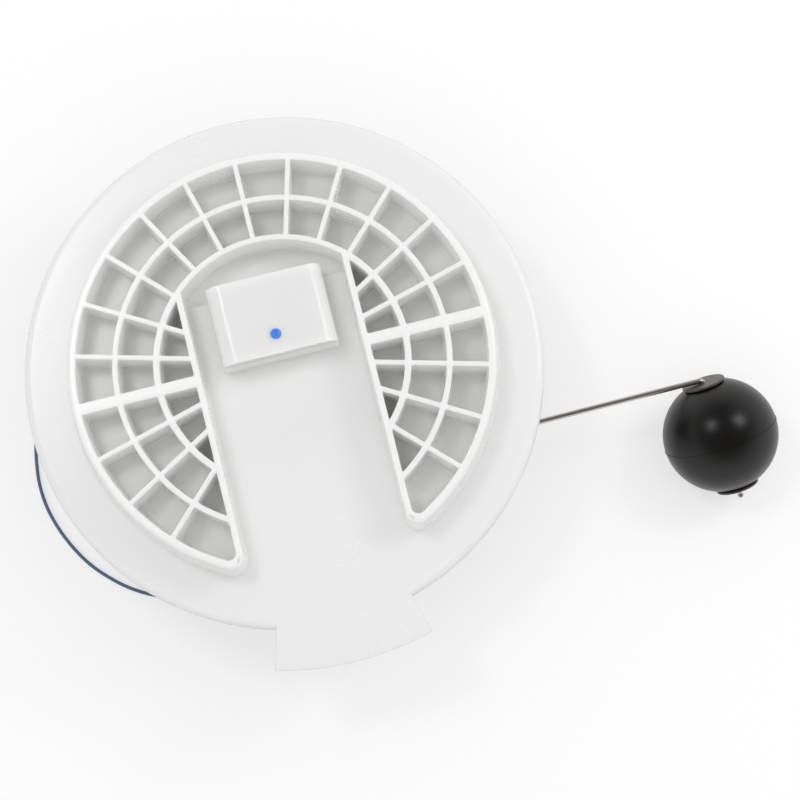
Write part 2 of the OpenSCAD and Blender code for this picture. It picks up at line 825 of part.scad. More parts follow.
module stator_core() {
    slot_count = 12;
    slot_span = 5;
    slot_depth = 15;
    color([0.36, 0.37, 0.40]) translate([0, 0, z_stack]) difference() {
        ring(motor_r - motor_wall - run_fit, rotor_r + stator_gap, stack_h);
        around(slot_count, rotor_r - 1) translate([0, -slot_span / 2, -1])
            cube([slot_depth, slot_span, stack_h + 2]);
    }
}

module coil_ring() {
    r_in = rotor_r + coil_in;
    r_out = motor_r - motor_wall - coil_out;
    round_r = 2;
    rotate_extrude() {
        translate([r_in + round_r, 0]) square([r_out - r_in - 2 * round_r, coil_h]);
        translate([r_in, round_r]) square([r_out - r_in, coil_h - 2 * round_r]);
        for (x = [r_in + round_r, r_out - round_r], y = [round_r, coil_h - round_r])
            translate([x, y]) circle(r = round_r);
    }
}

module stator_coils() {
    color([0.72, 0.38, 0.18]) for (z = [z_stack - coil_h, z_stack + stack_h]) translate([0, 0, z]) coil_ring();
}

module housing_ear() {
    reach = ear_ring_r - motor_r + 2;
    cylinder(r = ear_r, h = ear_t);
    translate([-reach, -ear_r, 0]) cube([reach, 2 * ear_r, ear_t]);
}

module motor_housing() {
    top_cut = 2;
    pad_r = gland_nut_r + 1.5;
    roof = z_motor_top - motor_wall;
    color([0.24, 0.25, 0.28]) difference() {
        union() {
            rotate_extrude() polygon([
                [0, z_motor], [flange_r, z_motor], [flange_r, z_motor + flange_t], [motor_r, z_motor + flange_t],
                [motor_r, z_motor_top - top_cut], [motor_r - top_cut, z_motor_top], [0, z_motor_top]
            ]);
            around(fins, motor_r) translate([0, 0, z_motor + flange_t - eps])
                block(2 * fin_out, fin_t, motor_h - flange_t - ear_t);
            translate([0, 0, z_motor_top - ear_t]) around(ear_count, ear_ring_r, 45) housing_ear();
            translate([lead_gland_x, lead_gland_y, lead_gland_z]) rotate([0, 90, 0]) cylinder(r = pad_r, h = pad_depth);
            translate([power_gland_x, power_gland_y, power_gland_z]) rotate([90, 0, 0])
                cylinder(r = power_gland_r + 1.5, h = pad_depth);
        }
        difference() {
            translate([0, 0, z_motor - 1]) cylinder(r = motor_r - motor_wall, h = roof - z_motor + 1);
            translate([0, 0, z_bearing_top - bearing_h])
                ring(bearing_r + bearing_wall, bearing_r + run_fit, bearing_h + 1);
            translate([0, 0, z_stack + stack_h]) ring(motor_r, motor_r - motor_wall - 3.5, roof);
        }
        around(clamp_count, clamp_ring_r) translate([0, 0, z_motor - 1])
            cylinder(r = clamp_screw_r + run_fit, h = flange_t + 2);
        around(ear_count, ear_ring_r, 45) translate([0, 0, z_motor_top - ear_t - 1])
            cylinder(r = ear_screw_r + run_fit, h = ear_t + 2);
    }
}

module o_ring(z) {
    color([0.10, 0.10, 0.11]) translate([0, 0, z - ring_seal_r - run_fit]) rotate_extrude()
        translate([o_ring_r, 0]) circle(r = ring_seal_r, $fn = 32);
}

module volute_o_ring() {
    o_ring(z_seal);
}

module housing_o_ring() {
    o_ring(z_motor);
}

module casing_screws() {
    grip = flange_t + seal_plate_t + flange_t;
    color([0.72, 0.73, 0.74]) around(clamp_count, clamp_ring_r) translate([0, 0, z_motor + flange_t])
        rotate([180, 0, 0]) cap_screw(clamp_screw_r, grip - 0.6, clamp_head_r, clamp_head_h);
}

module deck_screws() {
    color([0.72, 0.73, 0.74]) around(ear_count, ear_ring_r, 45) translate([0, 0, z_motor_top - ear_t])
        cap_screw(ear_screw_r, ear_t + boss_h + 1, ear_head_r, ear_head_h);
}

// ---- glands and lead ----

// Gland that seats at z = 0 and points up.
module gland() {
    nut_t = 4;
    cylinder(r = gland_nut_r, h = nut_t, $fn = 6);
    translate([0, 0, nut_t]) cylinder(r1 = gland_r, r2 = gland_r - 2, h = gland_len - nut_t);
}

module motor_lead_gland() {
    color([0.14, 0.14, 0.15]) translate([lead_gland_x, lead_gland_y, lead_gland_z]) rotate([0, -90, 0]) gland();
}

module switch_lead_gland() {
    color([0.14, 0.14, 0.15]) translate([case_gland_x, case_front, case_gland_z]) rotate([90, 0, 0]) gland();
}

module power_gland() {
    nut_t = 7;
    color([0.14, 0.14, 0.15]) translate([power_gland_x, power_gland_y, power_gland_z])
        rotate([-90, 0, 0]) difference() {
            union() {
                cylinder(r = power_gland_r, h = nut_t, $fn = 6);
                cylinder(r = power_gland_r - 2, h = power_gland_len);
            }
            translate([0, 0, -1]) cylinder(r = gland_bore_r, h = power_gland_len + 2);
        }
}

function unit(v) = v / norm(v);
function route_dir(p, i) = unit(p[min(i + 1, len(p) - 1)] - p[max(i - 1, 0)]);

// Point between two route points on a smooth curve through them all.
function curve_point(p, i, t) = let (
        a = p[max(i - 1, 0)], b = p[i], c = p[i + 1], d = p[min(i + 2, len(p) - 1)]
    ) 0.5 * (2 * b + t * (c - a) + t * t * (2 * a - 5 * b + 4 * c - d) + t * t * t * (3 * b - a - 3 * c + d));

function smooth_route(p) = [
    for (i = [0 : len(p) - 2], t = [0, 0.5]) curve_point(p, i, t), p[len(p) - 1]
];

// Tube swept along a route, its rings square to the route.
module swept_tube(p, r, sides) {
    n = len(p);
    rings = [for (i = [0 : n - 1]) let (
            d = route_dir(p, i), side = unit(cross(d, abs(d.z) > 0.8 ? [1, 0, 0] : [0, 0, 1])), up = cross(side, d)
        ) for (k = [0 : sides - 1]) let (a = (k + 0.5) * 360 / sides) p[i] + r * (cos(a) * side + sin(a) * up)];
    walls = [for (i = [0 : n - 2], k = [0 : sides - 1]) let (
            a = i * sides + k, b = i * sides + (k + 1) % sides
        ) each [[a, b, b + sides], [a, b + sides, a + sides]]];
    start = [for (k = [1 : sides - 2]) [0, k + 1, k]];
    last = (n - 1) * sides;
    stop = [for (k = [1 : sides - 2]) [last, last + k, last + k + 1]];
    polyhedron(points = rings, faces = concat(walls, start, stop));
}

module float_lead() {
    color([0.35, 0.42, 0.52]) swept_tube(smooth_route(lead_route), lead_r, lead_sides);
}

// ---- float switch ----

module at_case_ears() {
    for (side = [-1, 1]) translate([case_mid_x + side * (case_w / 2 + case_ear_out), case_mid_y, 0]) children();
}

module at_case_posts() {
    translate([case_mid_x, case_mid_y, 0]) at_corners(case_post_x, case_post_y) children();
}

module along_pivot(from_y, len, r) {
    translate([pivot_x, from_y, arm_z]) rotate([-90, 0, 0]) cylinder(r = r, h = len);
}

module along_pivot_ring(from_y, len, r_out, r_in) {
    difference() {
        along_pivot(from_y, len, r_out);
        along_pivot(from_y - 1, len + 2, r_in);
    }
}

module switch_case() {
    roof = z_case_top - case_ear_t;
    corner_r = 5;
    color([0.20, 0.21, 0.23]) difference() {
        union() {
            difference() {
                translate([case_mid_x, case_mid_y, z_case_body])
                    rounded_block(case_w, case_d, z_case_top - z_case_body, corner_r);
                translate([case_mid_x, case_mid_y, z_case_body - 1])
                    rounded_block(case_w - 2 * case_wall, case_d - 2 * case_wall, roof - z_case_body + 1, 2);
            }
            at_case_posts() translate([0, 0, z_case_body]) cylinder(r = case_post_r, h = case_post_h);
            at_case_ears() translate([0, 0, roof]) cylinder(r = case_ear_r, h = case_ear_t);
            translate([case_mid_x, case_mid_y, roof]) block(case_w + 2 * case_ear_out, 2 * case_ear_r, case_ear_t);
            translate([pivot_x, case_mid_y, z_switch + switch_h])
                block(switch_w, switch_d, roof - z_switch - switch_h + eps);
            along_pivot(case_front + case_wall - eps, case_boss_t, case_boss_r);
            along_pivot(case_back - case_wall - end_boss_t, end_boss_t + eps, case_boss_r - 2);
        }
        along_pivot(case_front - 1, case_wall + case_boss_t + 2, bushing_r);
        along_pivot(case_back - case_wall - end_boss_t - 1, end_boss_t + 1 + case_wall / 2, rod_r + run_fit);
        at_case_posts() translate([0, 0, z_case_body - 1]) cylinder(r = case_screw_r + run_fit, h = case_post_h - 1);
        at_case_ears() translate([0, 0, roof - 1]) cylinder(r = ear_screw_r + run_fit, h = case_ear_t + 2);
    }
}

module switch_gasket() {
    band = case_wall + 0.6;
    color([0.10, 0.10, 0.11]) difference() {
        translate([case_mid_x, case_mid_y, z_case + cover_t]) rounded_block(case_w, case_d, case_gasket_t, 5);
        difference() {
            translate([case_mid_x, case_mid_y, z_case])
                block(case_w - 2 * band, case_d - 2 * band, cover_t + case_gasket_t + 1);
            at_case_posts() translate([0, 0, z_case]) cylinder(r = case_post_r, h = cover_t + case_gasket_t + 1);
        }
        at_case_posts() translate([0, 0, z_case]) cylinder(r = case_screw_r + 0.1, h = cover_t + case_gasket_t + 1);
    }
}

module switch_cover() {
    color([0.20, 0.21, 0.23]) difference() {
        translate([case_mid_x, case_mid_y, z_case]) rounded_block(case_w, case_d, cover_t, 5);
        at_case_posts() translate([0, 0, z_case - 1]) cylinder(r = case_screw_r + 0.1, h = cover_t + 2);
    }
}

module switch_cover_screws() {
    color([0.72, 0.73, 0.74]) at_case_posts() translate([0, 0, z_case])
        cap_screw(case_screw_r, cover_t + case_gasket_t + case_post_h - 3, case_screw_r + 1.1, 1.8);
}

module switch_case_screws() {
    color([0.72, 0.73, 0.74]) at_case_ears() translate([0, 0, z_case_top - case_ear_t])
        cap_screw(ear_screw_r, case_ear_t + boss_h + 1, ear_head_r, ear_head_h);
}

module microswitch() {
    hole_len = plunger_len - switch_gap + cam_lift + 0.5;
    color([0.13, 0.13, 0.14]) difference() {
        translate([pivot_x, case_mid_y, z_switch]) block(switch_w, switch_d, switch_h);
        translate([pivot_x, case_mid_y, z_switch - 1]) cylinder(r = plunger_r + run_fit, h = hole_len + 1);
    }
}

module switch_plunger() {
    color([0.80, 0.24, 0.18]) translate([pivot_x, case_mid_y, z_plunger]) {
        translate([0, 0, plunger_r]) sphere(r = plunger_r, $fn = 32);
        translate([0, 0, plunger_r]) cylinder(r = plunger_r, h = plunger_len - plunger_r);
    }
}

module switch_cam() {
    lobe = concat([[0, 0]], [
        for (b = [-12 : 3 : 42]) let (r = cam_r + cam_lift * max(b, 0) / arm_travel) [r * sin(b), r * cos(b)]
    ]);
    color([0.90, 0.88, 0.80]) difference() {
        union() {
            along_pivot(cam_y, cam_t, cam_hub_r);
            translate([pivot_x, cam_y + cam_t, arm_z]) rotate([90, 0, 0]) linear_extrude(height = cam_t) polygon(lobe);
        }
        along_pivot(cam_y - 1, cam_t + 2, rod_r + run_fit);
    }
}

module pivot_bushing() {
    color([0.86, 0.84, 0.78]) difference() {
        union() {
            along_pivot(case_front - bushing_flange_t, bushing_flange_t, bushing_flange_r);
            along_pivot(case_front, bushing_len, bushing_r - run_fit);
        }
        along_pivot(case_front - bushing_flange_t - 1, bushing_flange_t + bushing_len + 2, rod_r + run_fit);
    }
}

module pivot_seal() {
    color([0.10, 0.10, 0.11])
        along_pivot_ring(case_front + bushing_len, seal_ring_t, bushing_r - run_fit, rod_r + run_fit);
}

module pivot_clip() {
    color([0.75, 0.76, 0.77])
        along_pivot_ring(case_front + bushing_len + seal_ring_t + gap, 1.2, bushing_r + 0.5, rod_r + run_fit);
}

// ---- float ----

// Frame on the ball's axis, z = 0 at distance s from the rod's corner.
module on_ball_axis(s) {
    translate([corner_x, arm_y, arm_z]) rotate([ball_tilt, 0, 0]) rotate([0, 0, -bend_angle])
        translate([s, 0, 0]) rotate([0, 90, 0]) children();
}

module float_rod() {
    inner_end = case_back - case_wall / 2 - gap;
    tangent = corner_bend_r * tan(bend_angle / 2);
    straight_x = pivot_x + pivot_bend_r;
    lap = 0.3;
    color([0.66, 0.64, 0.60]) {
        along_pivot(arm_y + pivot_bend_r, inner_end - arm_y - pivot_bend_r, rod_r);
        translate([straight_x, arm_y + pivot_bend_r, arm_z]) rotate([0, 0, 180])
            rotate_extrude(angle = 90) translate([pivot_bend_r, 0]) circle(r = rod_r);
        translate([straight_x, arm_y, arm_z]) rotate([0, 90, 0])
            cylinder(r = rod_r, h = corner_x - tangent - straight_x + lap);
        translate([corner_x, arm_y, arm_z]) rotate([ball_tilt, 0, 0]) translate([-tangent, -corner_bend_r, 0])
            rotate([0, 0, 90 - bend_angle]) rotate_extrude(angle = bend_angle)
                translate([corner_bend_r, 0]) circle(r = rod_r + bend_swell);
        on_ball_axis(tangent - lap)
            cylinder(r = rod_r, h = corner_len + ball_half + washer_t + tip_len - tangent + lap);
    }
}

module float_ball() {
    seam = 0.25;
    color([0.09, 0.09, 0.09]) on_ball_axis(corner_len) difference() {
        union() {
            intersection() {
                sphere(r = ball_r);
                translate([0, 0, -ball_half]) cylinder(r = ball_r + 1, h = 2 * ball_half);
            }
            translate([0, 0, -0.5]) cylinder(r = ball_r + seam, h = 1);
        }
        translate([0, 0, -ball_r - 1]) cylinder(r = rod_r + run_fit, h = 2 * ball_r + 2);
    }
}

module washer() {
    ring(washer_r, rod_r + run_fit, washer_t);
}

module inner_washer() {
    color([0.20, 0.18, 0.18]) on_ball_axis(corner_len - ball_half - washer_t) washer();
}

module outer_washer() {
    color([0.20, 0.18, 0.18]) on_ball_axis(corner_len + ball_half) washer();
}

module rod_push_nut() {
    color([0.70, 0.70, 0.70]) on_ball_axis(corner_len + ball_half + washer_t) ring(rod_r + 1.7, rod_r + run_fit, nut_t);
}

deck();
bay_gasket();
bay_cover();
bay_screws();
lamp_board();
lamp_led();
pilot_lens();
terminal_block();
lamp_conduit();
intake_strainer();
strainer_screws();
volute_casing();
impeller();
impeller_screw();
motor_shaft();
rotor_core();
seal_rotating_face();
seal_seat();
seal_plate();
lower_bearing();
upper_bearing();
stator_core();
stator_coils();
motor_housing();
volute_o_ring();
housing_o_ring();
casing_screws();
deck_screws();
power_gland();
motor_lead_gland();
float_lead();
switch_lead_gland();
switch_case();
switch_gasket();
switch_cover();
switch_cover_screws();
switch_case_screws();
microswitch();
switch_plunger();
switch_cam();
pivot_bushing();
pivot_seal();
pivot_clip();
float_rod();
float_ball();
inner_washer();
outer_washer();
rod_push_nut();
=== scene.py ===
"""Submersible pump under a ribbed round deck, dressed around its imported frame."""
import json
import math

import bmesh
import bpy
from mathutils import Matrix, Vector


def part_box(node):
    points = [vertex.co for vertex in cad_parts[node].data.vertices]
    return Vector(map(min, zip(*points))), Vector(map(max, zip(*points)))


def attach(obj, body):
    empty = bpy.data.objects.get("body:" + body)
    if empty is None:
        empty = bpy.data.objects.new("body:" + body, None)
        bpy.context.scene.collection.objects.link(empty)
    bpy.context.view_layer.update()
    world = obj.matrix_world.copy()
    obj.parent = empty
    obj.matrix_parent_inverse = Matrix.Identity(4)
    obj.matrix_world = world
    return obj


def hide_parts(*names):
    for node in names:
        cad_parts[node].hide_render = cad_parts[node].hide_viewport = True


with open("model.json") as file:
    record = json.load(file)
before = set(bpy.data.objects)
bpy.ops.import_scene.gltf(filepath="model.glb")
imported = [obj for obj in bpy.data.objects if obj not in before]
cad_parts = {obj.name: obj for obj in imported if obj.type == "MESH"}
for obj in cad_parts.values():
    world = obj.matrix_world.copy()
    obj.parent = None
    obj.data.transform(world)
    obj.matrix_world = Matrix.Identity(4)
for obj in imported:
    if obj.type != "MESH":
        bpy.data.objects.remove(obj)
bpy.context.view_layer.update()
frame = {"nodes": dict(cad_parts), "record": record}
NODES = frame["nodes"]
MM = 0.001

# ---------------------------------------------------------------- camera

camera_data = bpy.data.cameras.new("camera")
camera_data.lens = 90
camera_data.sensor_width = 36
camera = bpy.data.objects.new("camera", camera_data)
CAMERA_PLACE = (0.01386, -0.1988, 1.2322)
CAMERA_TURN, CAMERA_TILT, CAMERA_ROLL = (math.radians(a) for a in (-15.63, 8.55, 1.63))
camera.matrix_world = (
    Matrix.Translation(CAMERA_PLACE) @ Matrix.Rotation(CAMERA_TURN, 4, "Z")
    @ Matrix.Rotation(CAMERA_TILT, 4, "X") @ Matrix.Rotation(CAMERA_ROLL, 4, "Z"))
bpy.context.collection.objects.link(camera)
bpy.context.scene.camera = camera

# ---------------------------------------------------------------- sizes of the deck, in mm

Z_UNDER = 93.5
Z_PLATE = 97.0
Z_LIP = 84.0
RIM_R = 150.0
RIM_EDGE = 4.5
DECK_WALL = 3.5
TAB_R = 173.0
TAB_HALF = 15.3
TAB_T = 3.0
TAB_SOFT = 0.6
RIB_H = 25.0
HOOD_H = 28.0
FIELD_R = 123.5
FIELD_TOP_R = 121.1
POCKET_OUT_R = 116.5
MID_RING = (92.8, 96.0)
INNER_RING = (69.2, 72.9)
WELL_TOP_R = 69.7
LEG_X = 46.4
LEG_IN_X = 50.3
DRAFT = 0.5
HOOD_X = 33.5
HOOD_Y = (4.0, 50.0)
HOOD_ROUND = 9.0
RAMP_Y = (-40.0, 46.0)
RAMP_RISE = 2.5
STEP_Y = 47.0
RIB_HALF = 1.4
WIDE_RIB_HALF = 3.3
WIDEST_ROUND = 2.2
BOSS_Z = (84.0, 94.0)
EAR_RING_R, EAR_BOSS_R = 76.0, 6.0
SWITCH_BOSS_X, SWITCH_BOSS_Y, SWITCH_BOSS_R = (66.0, 120.0), -32.0, 5.0
BAY_LOW, BAY_HIGH = (-30.7, 6.8, 90.0), (30.7, 47.2, 122.2)
BAY_ROUND = 6.2
LENS_Y = 15.0
LENS_HOLE_R = 3.05
ROUND_SEGMENTS = 96
SAME = 0.01  # places nearer than this are the same
WELD = 0.001  # points nearer than this become one
# Roundings of a leg's tip: centre x and y on the right leg, radius, last angle.
TIP = (54.4, -101.89, 8.0, 298.1)
TIP_TOP = (53.9, -100.57, 7.0, 298.1)
POCKET_TIP = (54.4, -98.36, 4.1, 298.9)

# ---------------------------------------------------------------- modelling helpers


def deselect():
    """Object mode, with nothing selected."""
    active = bpy.context.view_layer.objects.active
    if active is not None and active.mode == "EDIT":
        bpy.ops.object.mode_set(mode="OBJECT")
    bpy.ops.object.select_all(action="DESELECT")


def take(obj):
    """Only obj is selected, and it is the active one."""
    deselect()
    obj.select_set(True)
    bpy.context.view_layer.objects.active = obj


def edit(obj):
    """Edit mode on obj alone."""
    take(obj)
    bpy.ops.object.mode_set(mode="EDIT")


def pick(kind, test):
    """In edit mode, selects the vertices, edges or faces that pass the test."""
    obj = bpy.context.edit_object
    bpy.ops.mesh.select_mode(type=kind)
    bpy.ops.mesh.select_all(action="DESELECT")
    mesh = bmesh.from_edit_mesh(obj.data)
    for part in {"VERT": mesh.verts, "EDGE": mesh.edges, "FACE": mesh.faces}[kind]:
        if test(part):
            part.select_set(True)
    mesh.select_flush_mode()
    bmesh.update_edit_mesh(obj.data)


def at(part):
    """Middle of a face or an edge, or the place of a vertex, in mm."""
    if isinstance(part, bmesh.types.BMFace):
        return part.calc_center_median() * 1000
    if isinstance(part, bmesh.types.BMEdge):
        return (part.verts[0].co + part.verts[1].co) * 500
    return part.co * 1000


def cut_plane(point, normal):
    """Cuts the selected faces along a plane, given in mm."""
    bpy.ops.mesh.bisect(plane_co=[c * MM for c in point], plane_no=normal, threshold=1e-6)


def move(x=0.0, y=0.0, z=0.0):
    """Moves what is selected, by steps in mm."""
    bpy.ops.transform.translate(value=(x * MM, y * MM, z * MM))


def scale_flat(factor, centre=(0.0, 0.0, 0.0)):
    """Scales what is selected in X and Y about a centre in mm."""
    bpy.ops.transform.resize(value=(factor, factor, 1), center_override=[c * MM for c in centre])


def extrude_rings(profile, start_r):
    """Extrudes the selected round edge loop along (radius, dz) steps in mm."""
    radius = start_r
    for new_radius, dz in profile:
        bpy.ops.mesh.extrude_region_move(TRANSFORM_OT_translate={"value": (0, 0, dz * MM)})
        scale_flat(new_radius / radius)
        radius = new_radius


def combine(obj, tool, operation):
    """Joins a tool to obj or cuts it away, and removes the tool."""
    take(obj)
    boolean = obj.modifiers.new("combine", "BOOLEAN")
    boolean.operation = operation
    boolean.solver = "EXACT"
    boolean.object = tool
    bpy.ops.object.modifier_apply(modifier=boolean.name)
    bpy.data.objects.remove(tool, do_unlink=True)


def weigh(test, share):
    """In edit mode, marks edges to be rounded by a share of the bevel's full width."""
    pick("EDGE", test)
    bpy.ops.transform.edge_bevelweight(value=share)


def round_edges(obj, width, segments):
    """Rounds the marked edges, each by its share of the width in mm."""
    take(obj)
    bevel = obj.modifiers.new("round", "BEVEL")
    bevel.width = width * MM
    bevel.segments = segments
    bevel.limit_method = "WEIGHT"
    bevel.use_clamp_overlap = False
    bpy.ops.object.modifier_apply(modifier=bevel.name)


def smooth(obj, angle):
    """Smooth shading, with edges sharper than an angle in degrees kept crisp."""
    take(obj)
    bpy.ops.object.shade_smooth_by_angle(angle=math.radians(angle))


# ---------------------------------------------------------------- the deck


def tip_planes(tip, steps):
    """Tangent planes round a leg's tip, as (normal x, normal y) for the right leg."""
    angles = [math.radians(180 + (tip[3] - 180) * (i + 0.5) / steps) for i in range(steps)]
    return [(math.cos(a), math.sin(a)) for a in angles]


OUTER_PLANES = tip_planes(TIP, 12)
POCKET_PLANES = tip_planes(POCKET_TIP, 6)
RIB_ANGLES = list(range(0, 180, 15))
POCKET, HOOD, RAMP, STEP, FLOOR, BRIM = range(6)
WALL = 30


def ring_r(x, y):
    """Radius of the many-sided ring that a point lies on."""
    step = 2 * math.pi / ROUND_SEGMENTS
    middle = (math.floor(math.atan2(y, x) / step) + 0.5) * step
    return (x * math.cos(middle) + y * math.sin(middle)) / math.cos(step / 2)


def beyond_tip(x, y, tip, planes):
    """Whether a point lies past the rounding of a leg's tip."""
    dx, dy = abs(x) - tip[0], y - tip[1]
    return y < -80 and any(dx * nx + dy * ny > tip[2] for nx, ny in planes)


def in_field(x, y):
    """Whether a point lies on the raised horseshoe."""
    r = ring_r(x, y)
    beside = abs(x) > LEG_X or (y > 0 and r > INNER_RING[0])
    return r < FIELD_R and beside and not beyond_tip(x, y, TIP, OUTER_PLANES)


def rib_number(x, y):
    """Number of the rib that a point lies on, or None between the ribs."""
    for number, angle in enumerate(range(-45, 226, 15)):
        a = math.radians(angle)
        along = x * math.cos(a) + y * math.sin(a)
        across = abs(-x * math.sin(a) + y * math.cos(a))
        if along > 0 and across < (WIDE_RIB_HALF if angle % 180 == 0 else RIB_HALF):
            return number
    return None


def pocket_band(x, y):
    """Number of the pocket ring round a point, from the middle, or None on a ring wall."""
    r = ring_r(x, y)
    bands = ((0, INNER_RING[0]), (INNER_RING[1], MID_RING[0]), (MID_RING[1], POCKET_OUT_R))
    for number, (low, high) in enumerate(bands):
        if low < r < high:
            return number
    return None


def in_pocket(x, y):
    """Whether a point lies in one of the pockets between the ribs."""
    band = pocket_band(x, y)
    if band is None or (abs(x) < LEG_IN_X and (band == 0 or y < 0)):
        return False
    clear = rib_number(x, y) is None and not beyond_tip(x, y, POCKET_TIP, POCKET_PLANES)
    return in_field(x, y) and clear


def in_hood(x, y):
    return abs(x) < HOOD_X and HOOD_Y[0] < y < HOOD_Y[1]


def sector(x, y):
    """Number of the 15 degree sector that a point lies in."""
    return int(math.degrees(math.atan2(y, x)) % 360 // 15)


def wall_piece(x, y):
    """Number for one straight or round stretch of the field's walls."""
    rib = rib_number(x, y)
    stretch = 30 + sector(x, y) if rib is None else rib
    r = ring_r(x, y)
    ring = sum(r > edge for edge in (*INNER_RING, *MID_RING, POCKET_OUT_R))
    if sector(x, y) in (16, 19) and ring == 4:
        ring = 5
    return WALL + 60 * ring + stretch


def region(x, y):
    """Which form of the deck's top a point belongs to."""
    if in_pocket(x, y):
        return POCKET
    if in_field(x, y):
        return wall_piece(x, y)
    if ring_r(x, y) > FIELD_R or y < RAMP_Y[0]:
        return BRIM + sector(x, y)
    if in_hood(x, y):
        return HOOD
    if RAMP_Y[0] < y < RAMP_Y[1]:
        return RAMP
    return STEP if RAMP_Y[1] < y < STEP_Y else FLOOR


def face_at(test):
    """Face test by the place of its middle."""
    def check(face):
        c = at(face)
        return test(c.x, c.y)
    return check


def deck_plan():
    """Flat plan of the deck's top with all its outlines cut into it."""
    deselect()
    start_r = RIM_R - RIM_EDGE
    bpy.ops.mesh.primitive_circle_add(
        vertices=ROUND_SEGMENTS, radius=start_r * MM, fill_type="NOTHING",
        location=(0, 0, Z_PLATE * MM))
    deck = bpy.context.object
    deck.name = "ribbed_deck"
    bpy.ops.object.transform_apply(location=True)
    edit(deck)
    bpy.ops.mesh.select_all(action="SELECT")
    rings = [FIELD_R, POCKET_OUT_R, MID_RING[1], MID_RING[0], INNER_RING[1], INNER_RING[0]]
    extrude_rings([(r, 0) for r in rings], start_r)
    bpy.ops.mesh.edge_face_add()
    for x in (-LEG_X, LEG_X):
        pick("FACE", face_at(lambda px, py: (
            ring_r(px, py) < (FIELD_R if py < -1 else INNER_RING[0]))))
        cut_plane((x, 0, 0), (1, 0, 0))
    for x in (-LEG_IN_X, LEG_IN_X):
        pick("FACE", face_at(lambda px, py: (
            pocket_band(px, py) == 0 or (py < 0 and pocket_band(px, py) is not None))))
        cut_plane((x, 0, 0), (1, 0, 0))
    for side in (-1, 1):
        for tip, planes, reach in ((TIP, OUTER_PLANES, 20), (POCKET_TIP, POCKET_PLANES, 11)):
            for nx, ny in planes:
                pick("FACE", face_at(lambda px, py: (
                    math.hypot(px - side * tip[0], py - tip[1]) < reach
                    and ring_r(px, py) < FIELD_R)))
                point = (side * (tip[0] + nx * tip[2]), tip[1] + ny * tip[2], 0)
                cut_plane(point, (side * nx, ny, 0))
    for angle in RIB_ANGLES:
        a = math.radians(angle)
        normal = (-math.sin(a), math.cos(a), 0)
        half = WIDE_RIB_HALF if angle == 0 else RIB_HALF
        for side in (-half, half):
            pick("FACE", face_at(lambda px, py: (
                in_field(px, py) and pocket_band(px, py) is not None
                and not (abs(px) < LEG_IN_X and (py < 0 or pocket_band(px, py) == 0)))))
            cut_plane([c * side for c in normal], normal)
    channel = face_at(lambda px, py: ring_r(px, py) < INNER_RING[0] and abs(px) < LEG_X)
    for x in (-HOOD_X, HOOD_X):
        pick("FACE", channel)
        cut_plane((x, 0, 0), (1, 0, 0))
    for y in (*HOOD_Y, *RAMP_Y, STEP_Y):
        pick("FACE", channel)
        cut_plane((0, y, 0), (0, 1, 0))
    bpy.ops.mesh.select_all(action="SELECT")
    bpy.ops.mesh.remove_doubles(threshold=SAME * MM)
    mesh = bmesh.from_edit_mesh(deck.data)
    for face in mesh.faces:
        face.material_index = region(*at(face).xy)
    bmesh.update_edit_mesh(deck.data)
    bpy.ops.mesh.select_all(action="SELECT")
    bpy.ops.mesh.dissolve_limited(angle_limit=math.radians(0.3), delimit={"MATERIAL"})
    bpy.ops.mesh.select_all(action="SELECT")
    bpy.ops.mesh.remove_doubles(threshold=0.5 * MM)
    return deck


def pick_region(test, level=Z_PLATE):
    """Selects the level faces at a height in mm whose form passes the test."""
    pick("FACE", lambda f: (
        test(f.material_index) and abs(f.normal.z) > 0.9 and abs(at(f).z - level) < SAME))


def raise_field():
    """Raises the horseshoe and sinks its pockets, with the draft of the moulding."""
    top = Z_PLATE + RIB_H
    pick_region(lambda form: form >= WALL or form == POCKET)
    bpy.ops.mesh.extrude_region_move(TRANSFORM_OT_translate={"value": (0, 0, RIB_H * MM)})

    def pick_top(test):
        pick("VERT", lambda v: abs(at(v).z - top) < SAME and test(at(v).x, at(v).y))

    for side in (-1, 1):
        pick_top(lambda x, y: (
            y < TIP[1] + 0.5 and x * side > 0
            and abs(math.hypot(x - side * TIP[0], y - TIP[1]) - TIP[2]) < 0.25))
        scale_flat(TIP_TOP[2] / TIP[2], (side * TIP[0], TIP[1], 0))
        move(x=side * (TIP_TOP[0] - TIP[0]), y=TIP_TOP[1] - TIP[1])
        pick_top(lambda x, y: abs(side * x - LEG_X) < 0.02 and y < WELL_TOP_R)
        move(x=side * DRAFT)
    pick_top(lambda x, y: abs(math.hypot(x, y) - FIELD_R) < 0.3)
    scale_flat(FIELD_TOP_R / FIELD_R)
    pick_top(lambda x, y: (
        y > 45 and abs(math.hypot(x, y) - INNER_RING[0]) < 0.2 and abs(x) < LEG_X - 0.2))
    scale_flat(WELL_TOP_R / INNER_RING[0])
    pick_region(lambda form: form == POCKET, top)
    bpy.ops.mesh.inset(thickness=DRAFT * MM, use_even_offset=True)
    move(z=-RIB_H)


